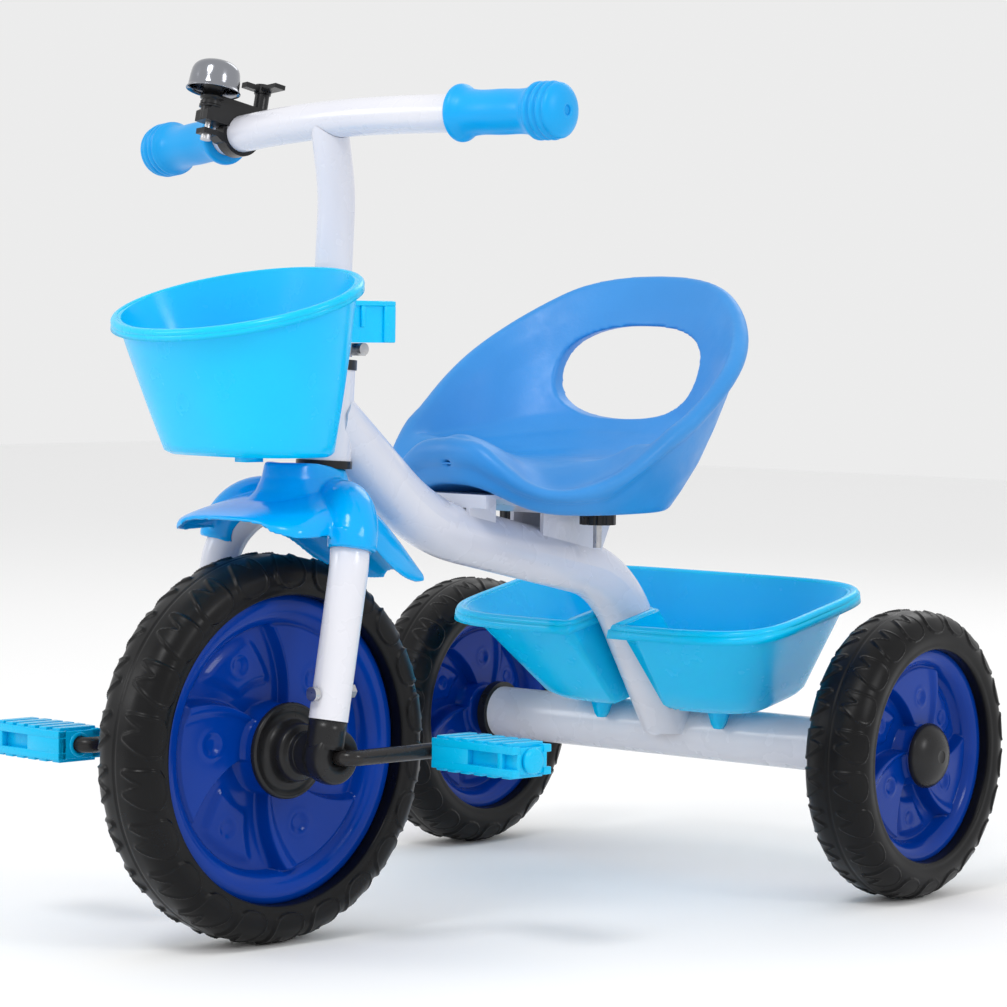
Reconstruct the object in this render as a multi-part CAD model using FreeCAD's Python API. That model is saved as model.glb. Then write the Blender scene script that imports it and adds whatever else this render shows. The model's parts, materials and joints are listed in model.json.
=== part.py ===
import FreeCAD, Part
import math
import os
from FreeCAD import Vector

# Children's tricycle with a direct-drive front wheel. Millimetres, +Z up.
# The drawing frame has y = 0 at the rear axle and the front of the tricycle faces -Y.
# Every piece is moved by FRAME_SHIFT when it is written, so that the origin of the finished
# part is on the floor under the middle of the whole tricycle.
FRAME_SHIFT = Vector(0, 231.8, 0)

# Wheels and axles.
REAR_RADIUS = 100.0
REAR_HALF_WIDTH = 24.0
REAR_TRACK_HALF = 194.0
REAR_LIP_RADIUS = 73.2
FRONT_RADIUS = 123.4
FRONT_HALF_WIDTH = 24.5
FRONT_LIP_RADIUS = 97.4
FRONT_AXLE_Y = -440.6
AXLE_ROD_RADIUS = 5.0
RUNNING_CLEARANCE = 0.06
BODY_GAP = 0.3

# Tubes.
BEAM_RADIUS = 19.0
AXLE_TUBE_RADIUS = 19.0
AXLE_TUBE_HALF = 163.0
FORK_RADIUS = 12.3
STEM_RADIUS = 12.0
BAR_RADIUS = 12.0
STEERER_RADIUS = 10.6
TUBE_WALL = 1.5

# Steering: the head axis leans back, and the fork rests turned to the rider's right.
HEAD_LEAN = 3.0
HEAD_POINT = Vector(0, -392.5, 301.5)
HEAD_AXIS = Vector(0, math.sin(math.radians(HEAD_LEAN)), math.cos(math.radians(HEAD_LEAN)))
REST_STEER = -6.2
HEAD_TUBE_RADIUS = 17.0
HEAD_TUBE_LOW = 304.0
HEAD_TUBE_HIGH = 362.0

# Fork legs.
LEG_X = 61.0
LEG_FOOT = Vector(LEG_X, -442.4, 146.0)
LEG_CORNER = Vector(LEG_X, -420.0, 277.0)
LEG_CROWN = Vector(8.0, -396.0, 279.0)
LEG_BEND = 48.0

# Handlebar: bowed in the middle, straight under the grips.
BAR_CENTRE = Vector(0, -391.3, 520.5)
BAR_BOW_HALF = 75.0
BAR_END_X = 187.0
BAR_SLOPE = 0.131
BAR_BOW_TILT = math.radians(20.6)
BAR_LEVEL = -2.4
GRIP_START = 109.0
GRIP_END = 193.0
GRIP_FLANGE_RADIUS = 17.9

# Crank and pedals.
CRANK_THROW = 80.0
CRANK_ARM_X = 79.0
PEDAL_INNER_X = 86.0
PEDAL_OUTER_X = 158.0
PEDAL_HALF_DEPTH = 17.0
PEDAL_HALF_HEIGHT = 11.0

X_AXIS = Vector(1, 0, 0)
Y_AXIS = Vector(0, 1, 0)
Z_AXIS = Vector(0, 0, 1)


# ---------------------------------------------------------------- helpers

def head_at(z):
    """Point of the head axis at height z."""
    return HEAD_POINT + HEAD_AXIS * ((z - HEAD_POINT.z) / HEAD_AXIS.z)


def steered(shape):
    """Turn a piece of the front assembly from straight ahead to its resting angle."""
    turned = shape.copy()
    turned.rotate(HEAD_POINT, HEAD_AXIS, REST_STEER)
    return turned


def save(name, shape):
    """Write one sub-part in the frame of the finished part."""
    placed = shape.copy()
    placed.translate(FRAME_SHIFT)
    if not placed.isValid():
        print("not valid:", name)
    placed.exportStep("parts/%s.step" % name)


def save_steered(name, shape):
    save(name, steered(shape))


def rod(start, end, radius):
    """Solid round bar between two points."""
    run = end - start
    return Part.makeCylinder(radius, run.Length, start, run)


def pipe(start, end, outer, inner):
    """Straight tube between two points."""
    return rod(start, end, outer).cut(rod(start, end, inner))


def head_ring(low, high, outer, inner):
    """Ring on the head axis between two heights."""
    return pipe(head_at(low), head_at(high), outer, inner)


def box(low, high):
    size = Vector(*high) - Vector(*low)
    return Part.makeBox(size.x, size.y, size.z, Vector(*low))


def fuse_all(shapes):
    joined = shapes[0]
    for shape in shapes[1:]:
        joined = joined.fuse(shape)
    return joined.removeSplitter()


def bent_path(points, bends):
    """Straight runs joined by tangent arcs; bends holds one radius per inner point."""
    edges = []
    here = points[0]
    for index, radius in enumerate(bends):
        corner = points[index + 1]
        back = (points[index] - corner).normalize()
        ahead = (points[index + 2] - corner).normalize()
        half = back.getAngle(ahead) / 2.0
        reach = radius / math.tan(half)
        enter = corner + back * reach
        leave = corner + ahead * reach
        middle_way = (back + ahead).normalize()
        centre = corner + middle_way * (radius / math.sin(half))
        top = centre - middle_way * radius
        edges.append(Part.LineSegment(here, enter).toShape())
        edges.append(Part.Arc(enter, top, leave).toShape())
        here = leave
    edges.append(Part.LineSegment(here, points[-1]).toShape())
    return Part.Wire(edges)


def sweep(path, radius):
    """Solid of round section along a path."""
    start = path.Edges[0]
    first = start.FirstParameter
    ring = Part.makeCircle(radius, start.valueAt(first), start.tangentAt(first))
    return path.makePipeShell([Part.Wire(ring)], True, False)


def bent_tube(points, bends, radius, wall=TUBE_WALL):
    path = bent_path(points, bends)
    return sweep(path, radius).cut(sweep(path, radius - wall))


def revolve_x(outline, centre):
    """Turn (radius, x) points about the X axis through centre."""
    points = [Vector(x, radius, 0) for radius, x in outline]
    face = Part.Face(Part.makePolygon(points + points[:1]))
    solid = face.revolve(Vector(0, 0, 0), X_AXIS, 360)
    solid.translate(centre)
    return solid


def superellipse(half_x, half_y, power, centre, slope=0.0, count=28):
    """Closed smooth outline, level along X and rising along Y by slope."""
    points = []
    for step in range(count):
        angle = 2 * math.pi * step / count
        cosine = math.cos(angle)
        sine = math.sin(angle)
        x = half_x * math.copysign(abs(cosine) ** (2 / power), cosine)
        y = half_y * math.copysign(abs(sine) ** (2 / power), sine)
        points.append(centre + Vector(x, y, slope * y))
    curve = Part.BSplineCurve()
    curve.interpolate(points, PeriodicFlag=True)
    return Part.Wire(curve.toShape())


def side_prism(outline, half_width):
    """Extrude (y, z) points across X from -half_width to half_width."""
    points = [Vector(-half_width, y, z) for y, z in outline]
    return Part.Face(Part.makePolygon(points + points[:1])).extrude(Vector(2 * half_width, 0, 0))


def mirrored(shape):
    return shape.mirror(Vector(0, 0, 0), X_AXIS)


# ---------------------------------------------------------------- frame

BEAM_POINTS = [
    Vector(0, -391.4, 334.0),
    Vector(0, -295.2, 258.9),
    Vector(0, -88.0, 217.5),
    Vector(0, -4.0, 94.0),
]
BEAM_BENDS = [180.0, 90.0]


def rear_axle_point(x):
    return Vector(x, 0, REAR_RADIUS)


def head_tube():
    return head_ring(HEAD_TUBE_LOW, HEAD_TUBE_HIGH, HEAD_TUBE_RADIUS, STEERER_RADIUS + 2.9)


def main_beam():
    """One bent tube from the head tube down to the rear axle tube."""
    tube = bent_tube(BEAM_POINTS, BEAM_BENDS, BEAM_RADIUS)
    cope_front = rod(head_at(280), head_at(400), HEAD_TUBE_RADIUS)
    cope_ring = rod(head_at(290), head_at(HEAD_TUBE_LOW), HEAD_TUBE_RADIUS + 1.0)
    front_waste = box((-40, -460, 250), (40, -391.5, 420))
    cope_rear = rod(rear_axle_point(-60), rear_axle_point(60), AXLE_TUBE_RADIUS)
    rear_waste = box((-60, -30, 40), (60, 60, REAR_RADIUS))
    return tube.cut(front_waste).cut(cope_front).cut(cope_ring).cut(cope_rear).cut(rear_waste)


def rear_axle_tube():
    tube = pipe(rear_axle_point(-AXLE_TUBE_HALF), rear_axle_point(AXLE_TUBE_HALF),
                AXLE_TUBE_RADIUS, AXLE_TUBE_RADIUS - TUBE_WALL)
    return tube.cut(rear_basket_screws())


def axle_bush():
    """Plastic plug in the left end of the axle tube, with a collar next to the wheel."""
    inner_end = rear_axle_point(AXLE_TUBE_HALF - 18)
    inside = rod(inner_end, rear_axle_point(AXLE_TUBE_HALF), AXLE_TUBE_RADIUS - TUBE_WALL)
    collar = rod(rear_axle_point(AXLE_TUBE_HALF), rear_axle_point(AXLE_TUBE_HALF + 6.4), 22.5)
    bore = rod(rear_axle_point(AXLE_TUBE_HALF - 20), rear_axle_point(AXLE_TUBE_HALF + 8), AXLE_ROD_RADIUS)
    return inside.fuse(collar).cut(bore)


def rear_axle_rod():
    reach = REAR_TRACK_HALF + 22
    return rod(rear_axle_point(-reach), rear_axle_point(reach), AXLE_ROD_RADIUS)


def axle_push_nuts():
    """Pressed retaining caps on both ends of the axle, hidden by the hub caps."""
    start = REAR_TRACK_HALF + 17.0
    nut = pipe(rear_axle_point(start), rear_axle_point(start + 2.5), 9.0, AXLE_ROD_RADIUS)
    return Part.Compound([nut, mirrored(nut)])


def headset_ring(low, high, sleeve_low, sleeve_high):
    """Black bearing ring: a flange outside the head tube and a sleeve inside it."""
    flange = head_ring(low, high, HEAD_TUBE_RADIUS + 1.0, STEERER_RADIUS + RUNNING_CLEARANCE)
    sleeve = head_ring(sleeve_low, sleeve_high, STEERER_RADIUS + 2.9, STEERER_RADIUS + RUNNING_CLEARANCE)
    return flange.fuse(sleeve)


# ---------------------------------------------------------------- seat

SEAT_STUD_X = 35.0
SEAT_STUD_Y = -148.0
SEAT_BASE_Z = 268.0
SEAT_PAN_Z = 303.0
PLATE = 3.0
GUSSET_X = 13.0


def seat_bracket_front():
    """Bent saddle strap from the beam up to the front of the seat, sloping back to the rear plate."""
    low = SEAT_BASE_Z - PLATE
    high = SEAT_BASE_Z + 8
    top = side_prism([(-262, high), (-234, high), (-198, low), (-182, low), (-182, low + PLATE),
                      (-198, low + PLATE), (-234, high + PLATE), (-262, high + PLATE)], 28)
    flange = box((-28, -262, high - 6), (28, -262 + PLATE, high))
    beam = sweep(bent_path(BEAM_POINTS, BEAM_BENDS), BEAM_RADIUS)
    legs = [box((x - PLATE / 2, -262, 240), (x + PLATE / 2, -234, high)) for x in (-GUSSET_X, GUSSET_X)]
    return fuse_all([top, flange] + legs).cut(beam)


def seat_bracket_rear():
    """Cross plate on two triangular gussets that stand on top of the beam."""
    plate = box((-56, -182, SEAT_BASE_Z - PLATE), (56, -112, SEAT_BASE_Z))
    holes = []
    for x in (-SEAT_STUD_X, SEAT_STUD_X):
        holes.append(rod(Vector(x, SEAT_STUD_Y, 250), Vector(x, SEAT_STUD_Y, 280), 3.3))
    pieces = [plate.cut(holes[0]).cut(holes[1])]
    under = SEAT_BASE_Z - PLATE
    outline = [(-182, under), (-112, under), (-104, 258), (-122, 224), (-182, 235)]
    beam = sweep(bent_path(BEAM_POINTS, BEAM_BENDS), BEAM_RADIUS)
    for x in (-GUSSET_X, GUSSET_X):
        gusset = side_prism(outline, PLATE / 2)
        gusset.translate(Vector(x, 0, 0))
        pieces.append(gusset.cut(beam))
    return fuse_all(pieces)


def seat_studs():
    studs = [rod(Vector(x, SEAT_STUD_Y, 240), Vector(x, SEAT_STUD_Y, SEAT_PAN_Z - 14), 3.0)
             for x in (-SEAT_STUD_X, SEAT_STUD_X)]
    return Part.Compound(studs)


def seat_knob(x):
    """Fluted hand nut on one seat stud."""
    top = SEAT_BASE_Z - PLATE
    knob = rod(Vector(x, SEAT_STUD_Y, top - 9), Vector(x, SEAT_STUD_Y, top), 12.5)
    flutes = 12
    for index in range(flutes):
        angle = 2 * math.pi * index / flutes
        place = Vector(x + 13.4 * math.cos(angle), SEAT_STUD_Y + 13.4 * math.sin(angle), top - 10)
        knob = knob.cut(Part.makeCylinder(1.9, 12, place, Z_AXIS))
    bore = rod(Vector(x, SEAT_STUD_Y, top - 12), Vector(x, SEAT_STUD_Y, top + 2), 3.0)
    return knob.cut(bore)


# Side view of the seat: the rim is low in front, climbs steeply and is level across the back.
SEAT_RIM = [
    (-324, 303.5), (-215, 303.5), (-185, 313), (-157, 331), (-119, 359), (-86, 381), (-60, 402), (-42, 421),
    (-14, 430), (26, 434), (26, 240), (-324, 240),
]
THIGH_X = 62.0
THIGH_RADIUS = 40.0
THIGH_FLOOR = 287.0
POMMEL_TOP = 316.0
POMMEL_RADIUS = 26.0


def seat():
    """Moulded bucket seat: a deep pan with sides rising into a back with a hand hole."""
    outer = Part.makeLoft([
        superellipse(92, 89, 2.4, Vector(0, -176, SEAT_BASE_Z)),
        superellipse(109, 98, 2.4, Vector(0, -171, SEAT_PAN_Z)),
        superellipse(127, 109, 2.4, Vector(0, -158, 365)),
        superellipse(127, 116, 2.25, Vector(0, -151, 405)),
        superellipse(122, 118, 2.1, Vector(0, -148, 445)),
    ], True, True)
    inner = Part.makeLoft([
        superellipse(98, 86, 2.3, Vector(0, -170, SEAT_PAN_Z)),
        superellipse(117, 96, 2.35, Vector(0, -158, 365)),
        superellipse(118, 104, 2.2, Vector(0, -151, 405)),
        superellipse(113, 107, 2.1, Vector(0, -148, 450)),
    ], True, True)
    shell = outer.cut(inner).common(side_prism(SEAT_RIM, 160))
    pommel_z = POMMEL_TOP - POMMEL_RADIUS
    pommel = rod(Vector(0, -264, pommel_z), Vector(0, -228, pommel_z), POMMEL_RADIUS)
    shell = shell.fuse(pommel.common(outer))
    for x in (-THIGH_X, THIGH_X):
        height = THIGH_FLOOR + THIGH_RADIUS
        shell = shell.cut(rod(Vector(x, -300, height), Vector(x, -222, height), THIGH_RADIUS))
    hand_hole = superellipse(66, 32, 2.5, Vector(0, 0, 0))
    window = Part.Face(hand_hole).extrude(Vector(0, 0, 140))
    window.rotate(Vector(0, 0, 0), X_AXIS, 90)
    window.translate(Vector(0, 30, 361))
    pockets = [rod(Vector(x, SEAT_STUD_Y, SEAT_BASE_Z - 2), Vector(x, SEAT_STUD_Y, SEAT_PAN_Z - 12), 6.0)
               for x in (-SEAT_STUD_X, SEAT_STUD_X)]
    strap_top = SEAT_BASE_Z + 8 + PLATE
    pocket = [(-266, 250), (-196, 250), (-196, SEAT_BASE_Z), (-233, strap_top), (-266, strap_top)]
    strap_pocket = side_prism(pocket, 32)
    beam_room = sweep(bent_path(BEAM_POINTS, BEAM_BENDS), BEAM_RADIUS + 1.0)
    for waste in [window, strap_pocket, beam_room] + pockets:
        shell = shell.cut(waste)
    return shell


# ---------------------------------------------------------------- rear basket

TRAY_TOP = Vector(0, -32, 197)
TRAY_BASE = Vector(0, -5, 126.5)
TRAY_SLOPE = 0.19
TRAY_TOP_HALF = (138.0, 74.0)
TRAY_BASE_HALF = (93.0, 41.0)
TRAY_POWER = 5.0
TRAY_WALL = 2.5
NOTCH_HALF = 23.0


def tray_solid(inset, floor, overshoot):
    """Tapered block of the basket; inset shrinks it and overshoot carries it past the rim."""
    rise = (TRAY_TOP - TRAY_BASE) * (overshoot / (TRAY_TOP.z - TRAY_BASE.z))
    wires = [
        superellipse(TRAY_BASE_HALF[0] - inset, TRAY_BASE_HALF[1] - inset, TRAY_POWER,
                     TRAY_BASE + Vector(0, 0, floor), TRAY_SLOPE),
        superellipse(TRAY_TOP_HALF[0] - inset, TRAY_TOP_HALF[1] - inset, TRAY_POWER,
                     TRAY_TOP + rise, TRAY_SLOPE),
    ]
    return Part.makeLoft(wires, True, True)


def tray_notch(margin):
    """Slanted slot that lets the beam pass down through the front of the basket."""
    outline = [(-160, 90), (8 + margin, 90), (6 + margin, 120), (-36 + margin, 182), (-54 + margin, 204),
               (-60 + margin, 240), (-160, 240)]
    return side_prism(outline, NOTCH_HALF + margin)


def rear_basket():
    """Open tray behind the seat, notched at the front for the beam, on two feet."""
    hollow = tray_solid(TRAY_WALL, TRAY_WALL, 6.0).cut(tray_notch(TRAY_WALL))
    rim = Part.makeLoft([
        superellipse(TRAY_TOP_HALF[0] + 6, TRAY_TOP_HALF[1] + 6, TRAY_POWER,
                     TRAY_TOP + Vector(0, 0, -5), TRAY_SLOPE),
        superellipse(TRAY_TOP_HALF[0] + 4, TRAY_TOP_HALF[1] + 4, TRAY_POWER, TRAY_TOP, TRAY_SLOPE),
    ], True, True)
    feet = [box((x - 9, -27, 107), (x + 9, -20.2, 126)) for x in (-52, 52)]
    body = fuse_all([tray_solid(0, 0, 0), rim] + feet).cut(hollow).cut(tray_notch(0))
    tube_room = rod(rear_axle_point(-AXLE_TUBE_HALF), rear_axle_point(AXLE_TUBE_HALF), AXLE_TUBE_RADIUS)
    return body.cut(tube_room).cut(rear_basket_screws())


def rear_basket_screws():
    """Round-headed screws that hold the basket floor to the axle tube."""
    screws = []
    for x in (-52, 52):
        head = rod(Vector(x, 0, 130.4), Vector(x, 0, 133), 5.0)
        shank = rod(Vector(x, 0, REAR_RADIUS + 8), Vector(x, 0, 130.4), 2.0)
        screws.append(head.fuse(shank))
    return Part.Compound(screws)


# ---------------------------------------------------------------- fork and stem

def steerer_tube():
    return head_ring(265, 430, STEERER_RADIUS, STEERER_RADIUS - 2)


def fork_leg():
    """Left leg: leans forward going down and bends in to the crown at the top."""
    leg = bent_tube([LEG_FOOT, LEG_CORNER, LEG_CROWN], [LEG_BEND], FORK_RADIUS)
    return leg.cut(rod(head_at(250), head_at(310), STEERER_RADIUS))


def leg_axis():
    return (LEG_FOOT - LEG_CORNER).normalize()


def bearing_block():
    """Left elbow: a horizontal bearing for the crank axle and a spigot up into the leg."""
    axle = Vector(LEG_X, FRONT_AXLE_Y, FRONT_RADIUS)
    barrel = rod(axle - Vector(19, 0, 0), axle + Vector(9, 0, 0), 17.0)
    shoulder = rod(LEG_FOOT + leg_axis() * 15, LEG_FOOT, FORK_RADIUS)
    spigot = rod(LEG_FOOT + leg_axis() * 5, LEG_FOOT - leg_axis() * 26, FORK_RADIUS - TUBE_WALL)
    bore = rod(axle - Vector(30, 0, 0), axle + Vector(30, 0, 0), AXLE_ROD_RADIUS + RUNNING_CLEARANCE)
    bolt = rod(Vector(LEG_X, -470, 163), Vector(LEG_X, -410, 163), 2.5)
    return barrel.fuse(shoulder).fuse(spigot).cut(bore).cut(bolt)


def fork_bolts():
    """Cross bolts that hold the bearing blocks in the legs, heads to the front."""
    bolts = []
    for x in (-LEG_X, LEG_X):
        head = rod(Vector(x, -457, 163), Vector(x, -452.9, 163), 4.5)
        shank = rod(Vector(x, -452.9, 163), Vector(x, -422, 163), 2.5)
        bolts.append(head.fuse(shank))
    return Part.Compound(bolts)


def fork_nuts():
    nuts = []
    for x in (-LEG_X, LEG_X):
        nut = Part.makePolygon([Vector(x + 4.6 * math.cos(math.radians(60 * k)), -426.4,
                                       163 + 4.6 * math.sin(math.radians(60 * k))) for k in range(7)])
        nut = Part.Face(nut).extrude(Vector(0, 4.0, 0))
        nuts.append(nut.cut(rod(Vector(x, -430, 163), Vector(x, -410, 163), 2.5)))
    return Part.Compound(nuts)


def bolt_holes(shape):
    """Drill the cross-bolt holes through both fork legs."""
    for x in (-LEG_X, LEG_X):
        shape = shape.cut(rod(Vector(x, -470, 163), Vector(x, -410, 163), 2.5))
    return shape


STEM_TOP = Vector(0, BAR_CENTRE.y, BAR_CENTRE.z)


def handlebar_stem():
    """Tube that slides over the steerer and bends forward to the handlebar."""
    path = [head_at(369.3), head_at(474), STEM_TOP]
    tube = bent_tube(path, [140.0], STEM_RADIUS, STEM_RADIUS - STEERER_RADIUS)
    saddle = rod(BAR_CENTRE - X_AXIS * 40, BAR_CENTRE + X_AXIS * 40, BAR_RADIUS + BODY_GAP)
    return tube.cut(levelled(saddle))


def stem_clamp():
    """Split collar with two ears behind the stem."""
    collar = head_ring(370.5, 379, STEM_RADIUS + 2.6, STEM_RADIUS)
    middle = head_at(375)
    ears = box((-6, middle.y + STEM_RADIUS - 1, 370.8), (6, middle.y + STEM_RADIUS + 14, 378.8))
    slot = box((-2, middle.y + 4, 366), (2, middle.y + 40, 396))
    bolt = rod(middle + Vector(-20, STEM_RADIUS + 9, 0), middle + Vector(20, STEM_RADIUS + 9, 0), 2.5)
    bore = rod(head_at(360), head_at(400), STEM_RADIUS)
    return collar.fuse(ears).cut(bore).cut(slot).cut(bolt)


def stem_clamp_bolt():
    middle = head_at(375) + Vector(0, STEM_RADIUS + 9, 0)
    shank = rod(middle + Vector(-11, 0, 0), middle + Vector(10, 0, 0), 2.5)
    head = rod(middle + Vector(6, 0, 0), middle + Vector(10, 0, 0), 4.0)
    nut = rod(middle + Vector(-10, 0, 0), middle + Vector(-6, 0, 0), 4.0)
    return fuse_all([shank, head, nut])


# ---------------------------------------------------------------- handlebar

def bar_direction(side):
    run = Vector(side, BAR_SLOPE * math.cos(BAR_BOW_TILT), -BAR_SLOPE * math.sin(BAR_BOW_TILT))
    return run.normalize()


def bar_point(x):
    """Centre line of the straight part of the bar at distance x, before the level correction."""
    sweep_back = BAR_SLOPE * BAR_BOW_HALF / 2 + BAR_SLOPE * (abs(x) - BAR_BOW_HALF)
    return BAR_CENTRE + Vector(x, sweep_back * math.cos(BAR_BOW_TILT), -sweep_back * math.sin(BAR_BOW_TILT))


def levelled(shape):
    turned = shape.copy()
    turned.rotate(BAR_CENTRE, Y_AXIS, BAR_LEVEL)
    return turned


def bar_path():
    """Centre line of the whole bar: a bow in the middle and two straight ends."""
    left = bar_point(BAR_BOW_HALF)
    right = bar_point(-BAR_BOW_HALF)
    return Part.Wire([
        Part.LineSegment(bar_point(-BAR_END_X), right).toShape(),
        Part.Arc(right, BAR_CENTRE, left).toShape(),
        Part.LineSegment(left, bar_point(BAR_END_X)).toShape(),
    ])


def handlebar():
    return levelled(sweep(bar_path(), BAR_RADIUS).cut(sweep(bar_path(), BAR_RADIUS - TUBE_WALL)))


def grip(side):
    """Ribbed grip: flange at the inner end, three rings and a domed cap at the outer end."""
    length = GRIP_END - GRIP_START
    bore_depth = (BAR_END_X - GRIP_START) * math.hypot(1, BAR_SLOPE) + BODY_GAP
    outline = [
        (BAR_RADIUS, 0), (GRIP_FLANGE_RADIUS - 1, 0), (GRIP_FLANGE_RADIUS, 1.2), (GRIP_FLANGE_RADIUS, 3.5),
        (15.6, 9), (13.8, 14), (14.2, 34), (13.8, 56), (14.6, 59), (17.2, 62),
        (17.6, 64), (16.4, 65.2), (17.9, 66.4), (17.9, 68.6), (16.5, 69.8), (17.9, 71), (17.9, 73.2),
        (16.5, 74.4), (17.5, 75.6), (16.6, 78.5), (13.5, 81.6), (8.0, 83.4), (3.0, length), (0, length),
        (0, bore_depth), (BAR_RADIUS, bore_depth),
    ]
    body = revolve_x(outline, Vector(0, 0, 0))
    turn = FreeCAD.Rotation(X_AXIS, bar_direction(side))
    body.Placement = FreeCAD.Placement(bar_point(side * GRIP_START), turn)
    return levelled(body)


# ---------------------------------------------------------------- front basket

BUCKET_TOP = Vector(0, -467.7, 406)
BUCKET_BASE = Vector(0, -456, 308)
BUCKET_TOP_HALF = (90.0, 60.0)
BUCKET_BASE_HALF = (57.0, 39.0)
BUCKET_SLOPE = 0.33
BUCKET_POWER = 2.05
BUCKET_WALL = 2.5


def bucket_solid(inset, floor, overshoot):
    rise = (BUCKET_TOP - BUCKET_BASE) * (overshoot / (BUCKET_TOP.z - BUCKET_BASE.z))
    wires = [
        superellipse(BUCKET_BASE_HALF[0] - inset, BUCKET_BASE_HALF[1] - inset, 2.8,
                     BUCKET_BASE + Vector(0, 0, floor)),
        superellipse(BUCKET_TOP_HALF[0] - inset, BUCKET_TOP_HALF[1] - inset, BUCKET_POWER,
                     BUCKET_TOP + rise, BUCKET_SLOPE),
    ]
    return Part.makeLoft(wires, True, True)


def bucket_rim():
    return Part.makeLoft([
        superellipse(BUCKET_TOP_HALF[0] + 4, BUCKET_TOP_HALF[1] + 2, BUCKET_POWER,
                     BUCKET_TOP + Vector(0, 0, -5), BUCKET_SLOPE),
        superellipse(BUCKET_TOP_HALF[0] + 3, BUCKET_TOP_HALF[1] + 2, BUCKET_POWER,
                     BUCKET_TOP, BUCKET_SLOPE),
    ], True, True)


def front_basket():
    """Open tub in front of the stem with a rolled rim that rises towards the rider."""
    foot = box((-8, -470, 304), (8, -452, 310))
    body = fuse_all([bucket_solid(0, 0, 0), bucket_rim(), foot])
    stem_room = rod(head_at(330), head_at(460), STEM_RADIUS + 0.8)
    collar_room = rod(head_at(340), head_at(380), STEM_RADIUS + 4)
    return body.cut(bucket_solid(BUCKET_WALL, BUCKET_WALL, 8.0)).cut(stem_room).cut(collar_room)


def basket_clip():
    """Channel on the back of the basket that wraps round the stem."""
    block = box((-20, -412, 379.3), (20, -351, 406))
    room = box((-16, -408, 370), (16, -355, 430))
    walls = block.cut(room)
    web = box((-16, -408, 388), (16, -355, 394))
    clip = walls.fuse(web)
    stem_room = rod(head_at(360), head_at(450), STEM_RADIUS)
    for waste in (stem_room, bucket_solid(0, 0, 0), bucket_rim(), basket_screws()):
        clip = clip.cut(waste)
    return clip


def basket_screws():
    screws = []
    for x in (-9, 9):
        head = rod(Vector(x, -351, 398), Vector(x, -348.5, 398), 4.0)
        shank = rod(Vector(x, -351, 398), Vector(x, -356, 398), 1.5)
        screws.append(head.fuse(shank))
    return Part.Compound(screws)


# ---------------------------------------------------------------- mudguard

def saddle_section(y, crown_z, half_width, drop, thickness=2.6):
    """Closed section across the wheel: nearly flat on top with both sides turned down."""
    base = crown_z - drop
    count = 12
    outer = []
    inner = []
    for step in range(count + 1):
        angle = math.pi * step / count
        cosine = math.copysign(abs(math.cos(angle)) ** 0.6, math.cos(angle))
        sine = math.sin(angle) ** 0.6 if step % count else 0.0
        outer.append(Vector(half_width * cosine, y, base + drop * sine))
        inner.append(Vector((half_width - thickness) * cosine, y, base + (drop - thickness) * sine))
    edges = []
    for points in (outer, inner[::-1]):
        curve = Part.BSplineCurve()
        curve.interpolate(points)
        edges.append(curve.toShape())
    edges.insert(1, Part.LineSegment(outer[-1], inner[-1]).toShape())
    edges.append(Part.LineSegment(inner[0], outer[0]).toShape())
    return Part.Wire(edges)


def mudguard():
    """Saddle over the front wheel: visor in front, tail behind, covers on both leg tops, neck."""
    crown = saddle_section(-395, 287, 42, 26)
    visor = Part.makeLoft([saddle_section(-472, 271, 50, 14), saddle_section(-455, 276, 49, 16),
                           saddle_section(-430, 283, 46, 20), crown], True, True)
    tail = Part.makeLoft([crown, saddle_section(-372, 277, 36, 40),
                          saddle_section(-345, 257, 28, 26), saddle_section(-321, 234, 19, 8)], True, True)
    path = bent_path([LEG_CORNER + leg_axis() * 34, LEG_CORNER, LEG_CROWN], [LEG_BEND * 0.6])
    cover = sweep(path, FORK_RADIUS + 4.0)
    neck = Part.makeLoft([superellipse(27, 34, 2.4, Vector(0, -408, 274)),
                          superellipse(19, 28, 2.4, Vector(0, -409, 298))], True, True)
    solid = fuse_all([visor, tail, cover, mirrored(cover), neck])
    room = sweep(path, FORK_RADIUS + 1.5)
    leg_path = bent_path([LEG_FOOT, LEG_CORNER, LEG_CROWN], [LEG_BEND])
    leg_room = sweep(leg_path, FORK_RADIUS + 0.2)
    crown_room = rod(Vector(-9, -396, 279), Vector(9, -396, 279), FORK_RADIUS + 1.5)
    neck_room = Part.makeLoft([superellipse(24.5, 31.5, 2.4, Vector(0, -408, 273)),
                               superellipse(16.5, 25.5, 2.4, Vector(0, -409, 295.5))], True, True)
    wheel_centre = Vector(0, FRONT_AXLE_Y, FRONT_RADIUS)
    under = rod(wheel_centre - X_AXIS * 70, wheel_centre + X_AXIS * 70, FRONT_RADIUS + 6)
    for waste in (room, mirrored(room), leg_room, mirrored(leg_room), crown_room, neck_room, under):
        solid = solid.cut(waste)
    return solid.cut(rod(head_at(260), head_at(320), STEERER_RADIUS))


# ---------------------------------------------------------------- bell

# The bell is drawn round a bar along X at the drawing's origin, then leaned and put on the bar.
BELL_X = -96.0
BELL_LEAN = -13.6
BELL_HALF_WIDTH = 7.0
DOME_FORWARD = -24.0
DOME_BASE = 23.0
DOME_HEIGHT = 20.5
LEVER_BACK = 14.0
LEVER_POST_TOP = 31.0
LEVER_HUB_HEIGHT = 6.0


def on_bar(shape):
    """Put a bell piece on the handlebar."""
    placed = shape.copy()
    placed.rotate(Vector(0, 0, 0), X_AXIS, BELL_LEAN)
    turn = FreeCAD.Placement(bar_point(BELL_X), FreeCAD.Rotation(X_AXIS, bar_direction(-1) * -1))
    placed.transformShape(turn.toMatrix(), True)
    return levelled(placed)


def bell_bar_room():
    return rod(Vector(-20, 0, 0), Vector(20, 0, 0), BAR_RADIUS)


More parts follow.
